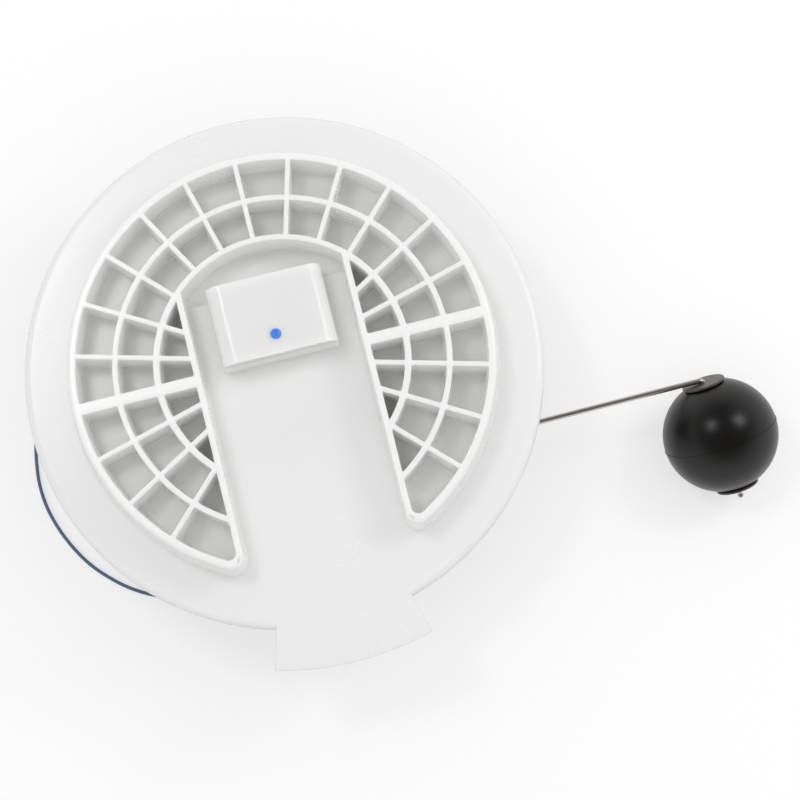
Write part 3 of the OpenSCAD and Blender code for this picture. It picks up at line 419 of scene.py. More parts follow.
def raise_hood():
    """Raises the lamp hood with its long round edges, and tips the ramp up towards the step."""
    pick_region(lambda form: form == HOOD)
    bpy.ops.mesh.extrude_region_move(TRANSFORM_OT_translate={"value": (0, 0, HOOD_H * MM)})
    pick("EDGE", lambda e: (
        abs(at(e).z - Z_PLATE - HOOD_H) < SAME and abs(abs(at(e).x) - HOOD_X) < SAME))
    bpy.ops.mesh.bevel(offset=HOOD_ROUND * MM, segments=12, profile=0.5, affect="EDGES")
    rise = math.atan2(RAMP_RISE, RAMP_Y[1] - RAMP_Y[0])

    def on_ramp(vert):
        c = at(vert)
        return (abs(c.z - Z_PLATE) < SAME and abs(c.x) < LEG_X + SAME
                and RAMP_Y[0] < c.y < RAMP_Y[1] + 0.1 and c.xy.length < INNER_RING[0])

    pick("VERT", on_ramp)
    bpy.ops.transform.rotate(
        value=-rise, orient_axis="X", orient_type="GLOBAL",
        center_override=(0, RAMP_Y[0] * MM, Z_PLATE * MM))


def mark_rounds():
    """Marks the moulded edges to be rounded, each by its share of the widest round."""
    top = Z_PLATE + RIB_H
    hood_top = Z_PLATE + HOOD_H

    def bent(edge):
        return len(edge.link_faces) == 2 and edge.calc_face_angle() > math.radians(40)

    def at_top(edge):
        return bent(edge) and abs(at(edge).z - top) < 0.05

    def outer_arc(edge):
        return abs(at(edge).xy.length - FIELD_TOP_R) < 0.3

    def round_tip(edge):
        """Angle of an edge round the leg's tip, 0 beside the channel, or None off the tip."""
        dx, dy = abs(at(edge).x) - TIP_TOP[0], at(edge).y - TIP_TOP[1]
        if abs(math.hypot(dx, dy) - TIP_TOP[2]) > 0.3 or dy > 0.5:
            return None
        return math.degrees(math.atan2(-dy, -dx))

    # The tops of the ribs, then the field's outer arc.
    weigh(lambda e: at_top(e) and not outer_arc(e), 0.36)
    weigh(lambda e: at_top(e) and outer_arc(e), 1.0)
    # The legs' tips, wider from the channel outwards.
    for low, high, share in ((-10, 30, 0.4), (30, 60, 0.5), (60, 90, 0.65), (90, 130, 0.8)):
        weigh(lambda e: (
            at_top(e) and round_tip(e) is not None and low <= round_tip(e) < high), share)
    # The feet of the walls, then their upright corners, then the hood's top.
    weigh(lambda e: bent(e) and abs(at(e).z - Z_PLATE) < 2.6 and at(e).xy.length < 130, 0.45)
    weigh(lambda e: (
        bent(e) and Z_PLATE + 8 < at(e).z < Z_PLATE + 18 and at(e).xy.length < 118
        and not (abs(at(e).x) < LEG_X + 1 and at(e).y > 45)), 0.45)
    weigh(lambda e: (
        bent(e) and abs(at(e).z - hood_top) < 9.1 and at(e).z > top - 6.1
        and in_hood(at(e).x * 0.99, at(e).y * 0.99 + 0.2)), 0.35)


def close_rim():
    """Extrudes the flat edge over the brim's round, round the lip and under the plate."""
    pick("EDGE", lambda e: e.is_boundary)
    flat_r = RIM_R - RIM_EDGE
    lip = DECK_WALL / 2
    quarter = [math.radians(15 * i) for i in range(7)]
    points = [(flat_r + RIM_EDGE * math.sin(a), Z_PLATE - RIM_EDGE * (1 - math.cos(a)))
              for a in quarter[1:]]
    points += [(RIM_R - lip + lip * math.cos(2 * a), Z_LIP + lip - lip * math.sin(2 * a))
               for a in quarter]
    inner = RIM_EDGE - DECK_WALL
    points += [(flat_r + inner * math.cos(a), Z_UNDER - inner * (1 - math.sin(a)))
               for a in quarter[::2]]
    points += [(110, Z_UNDER), (60, Z_UNDER)]
    profile, level = [], Z_PLATE
    for r, z in points:
        profile.append((r, z - level))
        level = z
    extrude_rings(profile, flat_r)
    bpy.ops.mesh.edge_face_add()


def block(name, low, high):
    """A closed box between two corners in mm, ready for edit mode work."""
    deselect()
    middle = [(a + b) / 2 * MM for a, b in zip(low, high)]
    bpy.ops.mesh.primitive_cube_add(size=1, location=middle)
    obj = bpy.context.object
    obj.name = name
    obj.scale = [(b - a) * MM for a, b in zip(low, high)]
    bpy.ops.object.transform_apply(location=True, rotation=True, scale=True)
    return obj


def upright_bar(name, radius, x, y, low, high):
    """A closed round bar that stands at x and y, between two heights in mm."""
    deselect()
    bpy.ops.mesh.primitive_cylinder_add(
        vertices=48, radius=radius * MM, depth=(high - low) * MM,
        location=(x * MM, y * MM, (low + high) / 2 * MM))
    obj = bpy.context.object
    obj.name = name
    bpy.ops.object.transform_apply(location=True, rotation=True, scale=True)
    return obj


def deck_tab():
    """The flat tab that stands out from the rim, its edges softened."""
    deselect()
    bpy.ops.mesh.primitive_plane_add(size=1, location=(0, 0, 0))
    tab = bpy.context.object
    tab.name = "tab"
    edit(tab)
    pick("VERT", lambda v: v.co.x < 0)
    bpy.ops.mesh.delete(type="VERT")
    bpy.ops.mesh.select_all(action="SELECT")
    mesh = bmesh.from_edit_mesh(tab.data)
    ends = sorted(mesh.verts, key=lambda v: v.co.y)
    first = math.radians(-90 + TAB_HALF)
    for vert, radius in zip(ends, (RIM_R - RIM_EDGE - 1, TAB_R)):
        x, y = radius * MM * math.cos(first), radius * MM * math.sin(first)
        vert.co = (x, y, (Z_PLATE - TAB_T) * MM)
    bmesh.update_edit_mesh(tab.data)
    bpy.ops.mesh.spin(
        steps=20, angle=math.radians(2 * TAB_HALF), center=(0, 0, 0), axis=(0, 0, 1),
        use_auto_merge=False)
    bpy.ops.mesh.select_all(action="SELECT")
    bpy.ops.mesh.extrude_region_move(TRANSFORM_OT_translate={"value": (0, 0, TAB_T * MM)})
    bpy.ops.mesh.select_all(action="SELECT")
    bpy.ops.mesh.normals_make_consistent(inside=False)
    pick("EDGE", lambda e: (
        len(e.link_faces) == 2 and e.calc_face_angle() > 1
        and at(e).xy.length > RIM_R - RIM_EDGE))
    bpy.ops.mesh.bevel(offset=TAB_SOFT * MM, segments=2, affect="EDGES")
    deselect()
    return tab


def build_deck():
    """The ribbed deck with its tab, its bosses below, the lamp bay and the lens's hole."""
    deck = deck_plan()
    raise_field()
    raise_hood()
    close_rim()
    bpy.ops.mesh.select_all(action="SELECT")
    bpy.ops.mesh.normals_make_consistent(inside=False)
    mark_rounds()
    deselect()
    round_edges(deck, WIDEST_ROUND, 3)
    combine(deck, deck_tab(), "UNION")
    edit(deck)
    pick("FACE", lambda f: (
        f.normal.z > 0.9999 and abs(at(f).z - Z_PLATE) < SAME and at(f).y < -130))
    bpy.ops.mesh.dissolve_limited(angle_limit=math.radians(0.3))
    for angle in (45, 135, 225, 315):
        a = math.radians(angle)
        x, y = EAR_RING_R * math.cos(a), EAR_RING_R * math.sin(a)
        combine(deck, upright_bar("boss", EAR_BOSS_R, x, y, *BOSS_Z), "UNION")
    for x in SWITCH_BOSS_X:
        combine(deck, upright_bar("boss", SWITCH_BOSS_R, x, SWITCH_BOSS_Y, *BOSS_Z), "UNION")
    bay = block("bay", BAY_LOW, BAY_HIGH)
    edit(bay)
    pick("EDGE", lambda e: (
        all(v.co.z > 0.12 and abs(v.co.x) > 0.03 for v in e.verts) and abs(at(e).x) > 30))
    bpy.ops.mesh.bevel(offset=BAY_ROUND * MM, segments=6, profile=0.5, affect="EDGES")
    combine(deck, bay, "DIFFERENCE")
    lens_hole = upright_bar("lens_hole", LENS_HOLE_R, 0, LENS_Y, 118, 130)
    combine(deck, lens_hole, "DIFFERENCE")
    deck.data.polygons.foreach_set("material_index", [0] * len(deck.data.polygons))
    smooth(deck, 34)
    weighted = deck.modifiers.new("even_shading", "WEIGHTED_NORMAL")
    weighted.keep_sharp = True
    bpy.ops.object.modifier_apply(modifier=weighted.name)
    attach(deck, "pump_unit")
    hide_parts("deck")
    return deck


deck = build_deck()

# ---------------------------------------------------------------- the float switch's lead

LEAD_ROUTE = [
    (-66.05, 24, 66), (-72.05, 24, 66), (-80.05, 25, 64.5), (-90.05, 28, 59), (-100.05, 32.5, 49),
    (-109.05, 37.5, 36), (-118.05, 42, 22), (-127, 45, 10.5), (-136, 44.5, 3.6),
    (-144.5, 40, 1.2), (-152, 31.5, 1.1), (-158, 20.5, 1.1), (-161.8, 8, 1.1), (-164.2, -5, 1.1),
    (-165.2, -18.5, 1.1), (-163.9, -32.5, 1.1), (-159.9, -47, 1.1), (-153.4, -61.5, 1.1),
    (-145.5, -74, 1.1), (-136, -84.5, 1.1), (-125.5, -93.5, 1.1), (-113, -101, 1.1),
    (-98.5, -106.5, 1.1), (-82, -110, 1.1), (-62, -111.5, 1.1), (-38, -111, 1.1),
    (-12, -109.5, 1.1), (14, -107, 1.1), (38, -103.5, 1.1), (56, -98.5, 1.4), (68, -91, 4.5),
    (75.5, -82.55, 11.5847), (79, -75.05, 22.0847), (80, -69.05, 33.0847), (80, -64.55, 41.0847),
    (80, -61.05, 43.6847), (80, -59.05, 44.0847),
]
LEAD_D = 2.1


def smooth_route(points, steps):
    """Points on a smooth curve through the given ones."""
    ends = [tuple(2 * a - b for a, b in zip(points[0], points[1])), *points,
            tuple(2 * a - b for a, b in zip(points[-1], points[-2]))]
    out = []
    for p0, p1, p2, p3 in zip(ends, ends[1:], ends[2:], ends[3:]):
        for i in range(steps):
            t = i / steps
            out.append(tuple(
                0.5 * (2 * b + (c - a) * t + (2 * a - 5 * b + 4 * c - d) * t ** 2
                       + (3 * b - a - 3 * c + d) * t ** 3)
                for a, b, c, d in zip(p0, p1, p2, p3)))
    return [*out, tuple(points[-1])]


def round_curve(name, points, radius):
    """A round wire or lead along points in mm."""
    data = bpy.data.curves.new(name, "CURVE")
    data.dimensions = "3D"
    data.bevel_depth = radius * MM
    data.bevel_resolution = 6
    data.use_fill_caps = True
    line = data.splines.new("POLY")
    line.points.add(len(points) - 1)
    for place, point in zip(line.points, points):
        place.co = (*(c * MM for c in point), 1)
    obj = bpy.data.objects.new(name, data)
    bpy.context.collection.objects.link(obj)
    return obj


def make_mesh(obj):
    """Turns a curve into a closed mesh."""
    take(obj)
    bpy.ops.object.convert(target="MESH")
    edit(obj)
    bpy.ops.mesh.select_all(action="SELECT")
    bpy.ops.mesh.remove_doubles(threshold=WELD * MM)
    bpy.ops.mesh.normals_make_consistent(inside=False)
    deselect()


lead_line = smooth_route(LEAD_ROUTE, 4)
lead = round_curve("lead", lead_line, LEAD_D / 2)
make_mesh(lead)
smooth(lead, 40)
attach(lead, "pump_unit")
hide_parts("float_lead")

# ---------------------------------------------------------------- the float and its arm

BALL_CENTRE = Vector((245.0, -92.8, 35.4))
ARM_CORNER = Vector((240.8, -59.4, 47.6))
ARM_AXIS = (BALL_CENTRE - ARM_CORNER).normalized()
PIVOT = (98.0, 50.685)
FIRST_CORNER_Y = -60.9
PIVOT_BEND_R = 4.0
CORNER_BEND_R = 2.4
ROD_R = 1.65
BALL_AT = (BALL_CENTRE - ARM_CORNER).length
BALL_R = 34.6
BALL_HALF = 32.9
SEAM_HALF, SEAM_RISE = 0.5, 0.25
WASHER_R, WASHER_T = 13.0, 1.5
BORE_R = 1.75
ARM_END = BALL_AT + BALL_HALF + WASHER_T + 7


def turned(name, profile, sides=64, closed=False):
    """A piece turned round Z from (radius, height) points in mm: a ring, or flat at its ends."""
    deselect()
    start_r, level = profile[0]
    bpy.ops.mesh.primitive_circle_add(
        vertices=sides, radius=start_r * MM, fill_type="NOTHING", location=(0, 0, level * MM))
    obj = bpy.context.object
    obj.name = name
    bpy.ops.object.transform_apply(location=True)
    edit(obj)
    bpy.ops.mesh.select_mode(type="EDGE")
    bpy.ops.mesh.select_all(action="SELECT")
    steps = []
    for radius, z in profile[1:]:
        steps.append((radius, z - level))
        level = z
    extrude_rings(steps, start_r)
    if closed:
        bpy.ops.mesh.select_all(action="SELECT")
        bpy.ops.mesh.remove_doubles(threshold=WELD * MM)
    else:
        for z in (profile[0][1], profile[-1][1]):
            pick("EDGE", lambda e: e.is_boundary and abs(at(e).z - z) < WELD)
            bpy.ops.mesh.edge_face_add()
    bpy.ops.mesh.select_all(action="SELECT")
    bpy.ops.mesh.normals_make_consistent(inside=False)
    deselect()
    return obj


def settle(obj, matrix):
    """Turns and moves a finished piece to its place, and keeps the place in its mesh."""
    take(obj)
    obj.matrix_world = matrix
    bpy.ops.object.transform_apply(location=True, rotation=True, scale=True)


def on_arm(obj, distance):
    """Sets a turned piece on the float's axis, at a distance from the rod's corner."""
    turn = ARM_AXIS.to_track_quat("Z", "Y").to_matrix().to_4x4()
    settle(obj, Matrix.Translation((ARM_CORNER + ARM_AXIS * distance) * MM) @ turn)


def dress(piece, body, slot, *replaced):
    """Says which body a piece rides and the CAD nodes that it replaces; its slot argument is not
    used.
    """
    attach(piece, body)
    if replaced:
        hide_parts(*replaced)


def round_corners(points, radii, steps=10):
    """Path through the points whose inner corners are rounded with the given radii."""
    path = [Vector(points[0])]
    for before, corner, after, radius in zip(points, points[1:], points[2:], radii):
        corner = Vector(corner)
        back = (Vector(before) - corner).normalized()
        on = (Vector(after) - corner).normalized()
        half = back.angle(on) / 2
        middle = corner + (back + on).normalized() * radius / math.sin(half)
        first = corner + back * radius / math.tan(half) - middle
        last = corner + on * radius / math.tan(half) - middle
        path += [middle + first.slerp(last, i / steps).normalized() * radius
                 for i in range(steps + 1)]
    return [*path, Vector(points[-1])]


def build_ball():
    """Foam float with flattened ends, the moulding seam round its middle and a bore for the rod."""
    deselect()
    bpy.ops.mesh.primitive_uv_sphere_add(
        segments=96, ring_count=64, radius=BALL_R * MM, location=(0, 0, 0))
    ball = bpy.context.object
    ball.name = "float_ball_body"
    edit(ball)
    edge_r = math.sqrt(BALL_R ** 2 - BALL_HALF ** 2)
    for level, side in ((BALL_HALF, 1), (-BALL_HALF, -1)):
        bpy.ops.mesh.select_all(action="SELECT")
        bpy.ops.mesh.bisect(
            plane_co=(0, 0, level * MM), plane_no=(0, 0, side), clear_outer=True, threshold=1e-6)
        pick("EDGE", lambda e: e.is_boundary and abs(at(e).z - level) < SAME)
        extrude_rings([(edge_r - 0.5, side * 0.12), (edge_r - 3, 0), (BORE_R, 0)], edge_r)
    pick("EDGE", lambda e: e.is_boundary)
    bpy.ops.mesh.bridge_edge_loops()
    for level in (-SEAM_HALF, SEAM_HALF):
        pick("FACE", lambda f: abs(at(f).z) < 6 and at(f).xy.length > 30)
        cut_plane((0, 0, level), (0, 0, 1))
    pick("FACE", lambda f: abs(at(f).z) < SEAM_HALF and at(f).xy.length > 30)
    bpy.ops.mesh.extrude_region_shrink_fatten(TRANSFORM_OT_shrink_fatten={"value": SEAM_RISE * MM})
    bpy.ops.mesh.select_all(action="SELECT")
    bpy.ops.mesh.normals_make_consistent(inside=False)
    deselect()
    smooth(ball, 35)
    on_arm(ball, BALL_AT)
    dress(ball, "float_arm", "float_foam", "float_ball")
    return ball


def build_washer(name, node, distance):
    """Flat washer with soft edges and a shallow dish on its outer face."""
    edge, dish = 0.35, WASHER_T - 0.12
    washer = turned(name, [
        (BORE_R, 0), (WASHER_R - edge, 0), (WASHER_R, edge), (WASHER_R, WASHER_T - edge),
        (WASHER_R - edge, WASHER_T), (WASHER_R - 2.5, dish), (BORE_R + 2.2, dish),
        (BORE_R, WASHER_T), (BORE_R, 0)], closed=True)
    smooth(washer, 35)
    on_arm(washer, distance)
    dress(washer, "float_arm", "dark_washer", node)
    return washer


def build_rod():
    """Bent wire from the hinge to the float's far side, with a crimped tip."""
    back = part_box("float_rod")[1][1] / MM
    start = (PIVOT[0], back, PIVOT[1])
    first_corner = (PIVOT[0], FIRST_CORNER_Y, PIVOT[1])
    end = ARM_CORNER + ARM_AXIS * ARM_END
    path = round_corners([start, first_corner, ARM_CORNER, end], [PIVOT_BEND_R, CORNER_BEND_R])
    crimp = [(ARM_END - 3.4, 1), (ARM_END - 2.9, 0.82), (ARM_END - 2.1, 0.82),
             (ARM_END - 1.7, 1.08), (ARM_END - 0.5, 1.08), (ARM_END, 0.8)]
    path = path[:-1] + [ARM_CORNER + ARM_AXIS * reach for reach, _ in crimp]
    wire = round_curve("float_wire", path, ROD_R)
    for point, (_, share) in zip(wire.data.splines[0].points[-len(crimp):], crimp):
        point.radius = share
    make_mesh(wire)
    smooth(wire, 40)
    dress(wire, "float_arm", "float_rod_steel", "float_rod")
    return wire


def build_push_nut():
    """Sprung cap nut that holds the outer washer on the rod."""
    nut = turned("push_nut", [
        (BORE_R, 0.1), (ROD_R + 1.6, 0), (ROD_R + 1.7, 0.3), (ROD_R + 1.4, 0.55),
        (BORE_R + 0.25, 1.2), (BORE_R, 1.1), (BORE_R, 0.1)], sides=32, closed=True)
    smooth(nut, 35)
    on_arm(nut, BALL_AT + BALL_HALF + WASHER_T)
    dress(nut, "float_arm", "stainless", "rod_push_nut")
    return nut


float_pieces = {
    "float_foam": [build_ball()],
    "dark_washer": [
        build_washer("washer_at_bend", "inner_washer", BALL_AT - BALL_HALF - WASHER_T),
        build_washer("washer_at_tip", "outer_washer", BALL_AT + BALL_HALF)],
    "float_rod_steel": [build_rod()],
    "stainless": [build_push_nut()],
}

# ---------------------------------------------------------------- pilot lens and strain reliefs


def build_lens():
    """Domed lens pressed up through the hood, with a flange below the wall."""
    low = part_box("pilot_lens")[0][2] / MM
    hood_z, lens_r = Z_PLATE + HOOD_H, 3.0
    dome = [(lens_r * math.cos(math.radians(a)), hood_z + 0.1 + 1.5 * math.sin(math.radians(a)))
            for a in range(0, 90, 9)]
    flange_r = lens_r + 1.2
    lens = turned("lens_dome", [
        (flange_r, low), (flange_r, hood_z - 2.85), (lens_r, hood_z - 2.8), *dome,
        (0.25, hood_z + 1.58)], sides=48)
    smooth(lens, 40)
    settle(lens, Matrix.Translation((0, LENS_Y * MM, 0)))
    dress(lens, "pump_unit", "blue_lens", "pilot_lens")
    return lens


SLEEVE_LENGTH = 11.0
SLEEVE_ROOT_R, SLEEVE_TIP_R = 3.1, 1.45
SLEEVE_STEP = 0.4
GROOVES_FROM, GROOVES_TO = 2.0, SLEEVE_LENGTH - 1.2
GROOVE_PITCH, GROOVE_WIDTH, GROOVE_DEPTH = 1.8, 0.8, 0.35


def build_strain_relief(name, line):
    """Ribbed sleeve that tapers along the first stretch of the lead."""
    path, radii, travelled = [Vector(line[0])], [SLEEVE_ROOT_R], 0.0
    for a, b in zip(line, line[1:]):
        a, b = Vector(a), Vector(b)
        pieces = max(1, round((b - a).length / SLEEVE_STEP))
        for i in range(1, pieces + 1):
            step = a.lerp(b, i / pieces)
            travelled += (step - path[-1]).length
            if travelled > SLEEVE_LENGTH:
                break
            taper = SLEEVE_ROOT_R + (SLEEVE_TIP_R - SLEEVE_ROOT_R) * travelled / SLEEVE_LENGTH
            grooved = GROOVES_FROM < travelled < GROOVES_TO
            groove = GROOVE_DEPTH if grooved and travelled % GROOVE_PITCH < GROOVE_WIDTH else 0
            path.append(step)
            radii.append(taper - groove)
        if travelled > SLEEVE_LENGTH:
            break
    sleeve = round_curve(name, path, 1.0)
    for point, radius in zip(sleeve.data.splines[0].points, radii):
        point.radius = radius
    make_mesh(sleeve)
    smooth(sleeve, 50)
    dress(sleeve, "pump_unit", "gland_plastic")
    return sleeve


lens = build_lens()
reliefs = [
    build_strain_relief("relief_at_motor", lead_line),
    build_strain_relief("relief_at_switch", lead_line[::-1]),
]

# ---------------------------------------------------------------- finishes


def node_group(name, inputs, outputs):
    """An empty shader group with its named sockets, and its input and output nodes."""
    tree = bpy.data.node_groups.new(name, "ShaderNodeTree")
    for label, kind, value in inputs:
        socket = tree.interface.new_socket(
            label, in_out="INPUT", socket_type=f"NodeSocket{kind}")
        socket.default_value = value
    for label, kind in outputs:
        tree.interface.new_socket(label, in_out="OUTPUT", socket_type=f"NodeSocket{kind}")
    return tree, tree.nodes.new("NodeGroupInput"), tree.nodes.new("NodeGroupOutput")


def add(tree, kind, **values):
    """A node with some of its settings, or of its inputs by name with spaces as underscores."""
    node = tree.nodes.new(f"ShaderNode{kind}")
    for key, value in values.items():
        label = key.replace("_", " ")
        if hasattr(node, key):
            setattr(node, key, value)
        elif isinstance(value, bpy.types.NodeSocket):
            tree.links.new(value, node.inputs[label])
        else:
            node.inputs[label].default_value = value
    return node


def math_node(tree, operation, first, second):
    """Result of a sum on two values, each a number or another node's output."""
    node = tree.nodes.new("ShaderNodeMath")
    node.operation = operation
    for socket, value in zip(node.inputs, (first, second)):
        if isinstance(value, bpy.types.NodeSocket):
            tree.links.new(value, socket)
        else:
            socket.default_value = value
    return node.outputs[0]


def noise(tree, place, scale, detail):
    return add(tree, "TexNoise", Vector=place, Scale=scale, Detail=detail)


def spread(tree, value, centre, width):
    """Turns a 0 to 1 pattern into centre plus or minus width."""
    shifted = math_node(tree, "SUBTRACT", value, 0.5)
    doubled = math_node(tree, "MULTIPLY", shifted, 2.0)
    return math_node(tree, "ADD", math_node(tree, "MULTIPLY", doubled, width), centre)


def tint(tree, colour, shade):
    """Multiplies a colour by a shade close to 1."""
    mix = tree.nodes.new("ShaderNodeMix")
    mix.data_type = "RGBA"
    mix.blend_type = "MULTIPLY"
    mix.inputs[0].default_value = 1
    tree.links.new(colour, mix.inputs[6])
    tree.links.new(shade, mix.inputs[7])
    return mix.outputs[2]


SURFACE_OUTPUTS = [("Color", "Color"), ("Roughness", "Float"), ("Height", "Float")]
SURFACE_INPUTS = [
    ("Color", "Color", (0.5, 0.5, 0.5, 1)), ("Variation", "Float", 0.04),
    ("Roughness", "Float", 0.4), ("Roughness Range", "Float", 0.06),
    ("Patch Scale", "Float", 25.0), ("Grain Scale", "Float", 900.0)]


def close_group(tree, ends, outs, colour_pattern, rough_pattern, height):
    """Wires the patterns of a surface group to its outputs."""
    shade = spread(tree, colour_pattern, 1.0, ends.outputs["Variation"])
    tree.links.new(tint(tree, ends.outputs["Color"], shade), outs.inputs["Color"])
    rough = spread(
        tree, rough_pattern, ends.outputs["Roughness"], ends.outputs["Roughness Range"])
    tree.links.new(rough, outs.inputs["Roughness"])
    tree.links.new(height, outs.inputs["Height"])
    return tree


def moulded_surface():
    """Moulded plastic or rubber: broad cloudy patches and a fine spark-eroded grain."""
    tree, ends, outs = node_group("moulded_surface", SURFACE_INPUTS, SURFACE_OUTPUTS)
    place = add(tree, "TexCoord").outputs["Object"]
    patches = noise(tree, place, ends.outputs["Patch Scale"], 3.0)
    grain = noise(tree, place, ends.outputs["Grain Scale"], 2.0)
    mixed = math_node(tree, "ADD", math_node(tree, "MULTIPLY", patches.outputs[0], 0.6),
                      math_node(tree, "MULTIPLY", grain.outputs[0], 0.4))
    return close_group(tree, ends, outs, patches.outputs[0], mixed, grain.outputs[0])


def brushed_metal():
    """Drawn or ground metal: scratches drawn out along the axis whose stretch is small."""
    inputs = [*SURFACE_INPUTS, ("Stretch", "Vector", (1, 1, 1))]
    tree, ends, outs = node_group("brushed_metal", inputs, SURFACE_OUTPUTS)
    place = add(tree, "TexCoord").outputs["Object"]
    drawn = tree.nodes.new("ShaderNodeVectorMath")
    drawn.operation = "MULTIPLY"
    tree.links.new(place, drawn.inputs[0])
    tree.links.new(ends.outputs["Stretch"], drawn.inputs[1])
    scratches = noise(tree, drawn.outputs[0], ends.outputs["Grain Scale"], 4.0)
    patches = noise(tree, place, ends.outputs["Patch Scale"], 2.0)
    grain = scratches.outputs[0]
    return close_group(tree, ends, outs, patches.outputs[0], grain, grain)


def cast_surface():
    """Sand-cast and coated metal: small rounded lumps under the coat and a cloudy sheen."""
    tree, ends, outs = node_group("cast_surface", SURFACE_INPUTS, SURFACE_OUTPUTS)
    place = add(tree, "TexCoord").outputs["Object"]
    patches = noise(tree, place, ends.outputs["Patch Scale"], 4.0)
    lumps = add(
        tree, "TexVoronoi", Vector=place, Scale=ends.outputs["Grain Scale"], feature="SMOOTH_F1")
    grit = noise(tree, place, ends.outputs["Grain Scale"], 5.0)
    height = math_node(tree, "ADD", math_node(tree, "MULTIPLY", lumps.outputs["Distance"], 0.6),
                       math_node(tree, "MULTIPLY", grit.outputs[0], 0.4))
    return close_group(tree, ends, outs, patches.outputs[0], grit.outputs[0], height)


def wound_wire():
    """Rows of enamelled wire laid round the Z axis."""
    tree, ends, outs = node_group("wound_wire", SURFACE_INPUTS, SURFACE_OUTPUTS)
    place = add(tree, "TexCoord").outputs["Object"]
    rows = add(
        tree, "TexWave", Vector=place, Scale=ends.outputs["Grain Scale"], bands_direction="Z",
        wave_type="BANDS", wave_profile="SIN", Distortion=0.6, Detail=2.0, Detail_Scale=1.5)
    patches = noise(tree, place, ends.outputs["Patch Scale"], 3.0)
    shade = math_node(tree, "ADD", math_node(tree, "MULTIPLY", rows.outputs["Fac"], 0.6),
                      math_node(tree, "MULTIPLY", patches.outputs[0], 0.4))
    return close_group(tree, ends, outs, shade, patches.outputs[0], rows.outputs["Fac"])


SURFACES = {
    "moulded": moulded_surface(), "brushed": brushed_metal(),
    "cast": cast_surface(), "wound": wound_wire()}


def finish(name, surface, colour, roughness, depth=0.03, plain=None, **pattern):
    """A material patterned by a surface group, with a relief depth in mm and its plain values."""
    material = bpy.data.materials.new(name)
    material.use_nodes = True
    tree = material.node_tree
    shader = tree.nodes["Principled BSDF"]
    surface_node = tree.nodes.new("ShaderNodeGroup")
    surface_node.node_tree = SURFACES[surface]
    surface_node.inputs["Color"].default_value = (*colour, 1)
    surface_node.inputs["Roughness"].default_value = roughness
    for key, value in pattern.items():
        surface_node.inputs[key.replace("_", " ").title()].default_value = value
    bump = tree.nodes.new("ShaderNodeBump")
    bump.inputs["Distance"].default_value = depth * MM
    bump.inputs["Strength"].default_value = 0.6
    tree.links.new(surface_node.outputs["Color"], shader.inputs["Base Color"])
    tree.links.new(surface_node.outputs["Roughness"], shader.inputs["Roughness"])
    tree.links.new(surface_node.outputs["Height"], bump.inputs["Height"])
    tree.links.new(bump.outputs["Normal"], shader.inputs["Normal"])
    for label, value in (plain or {}).items():
        shader.inputs[label].default_value = value
    return material


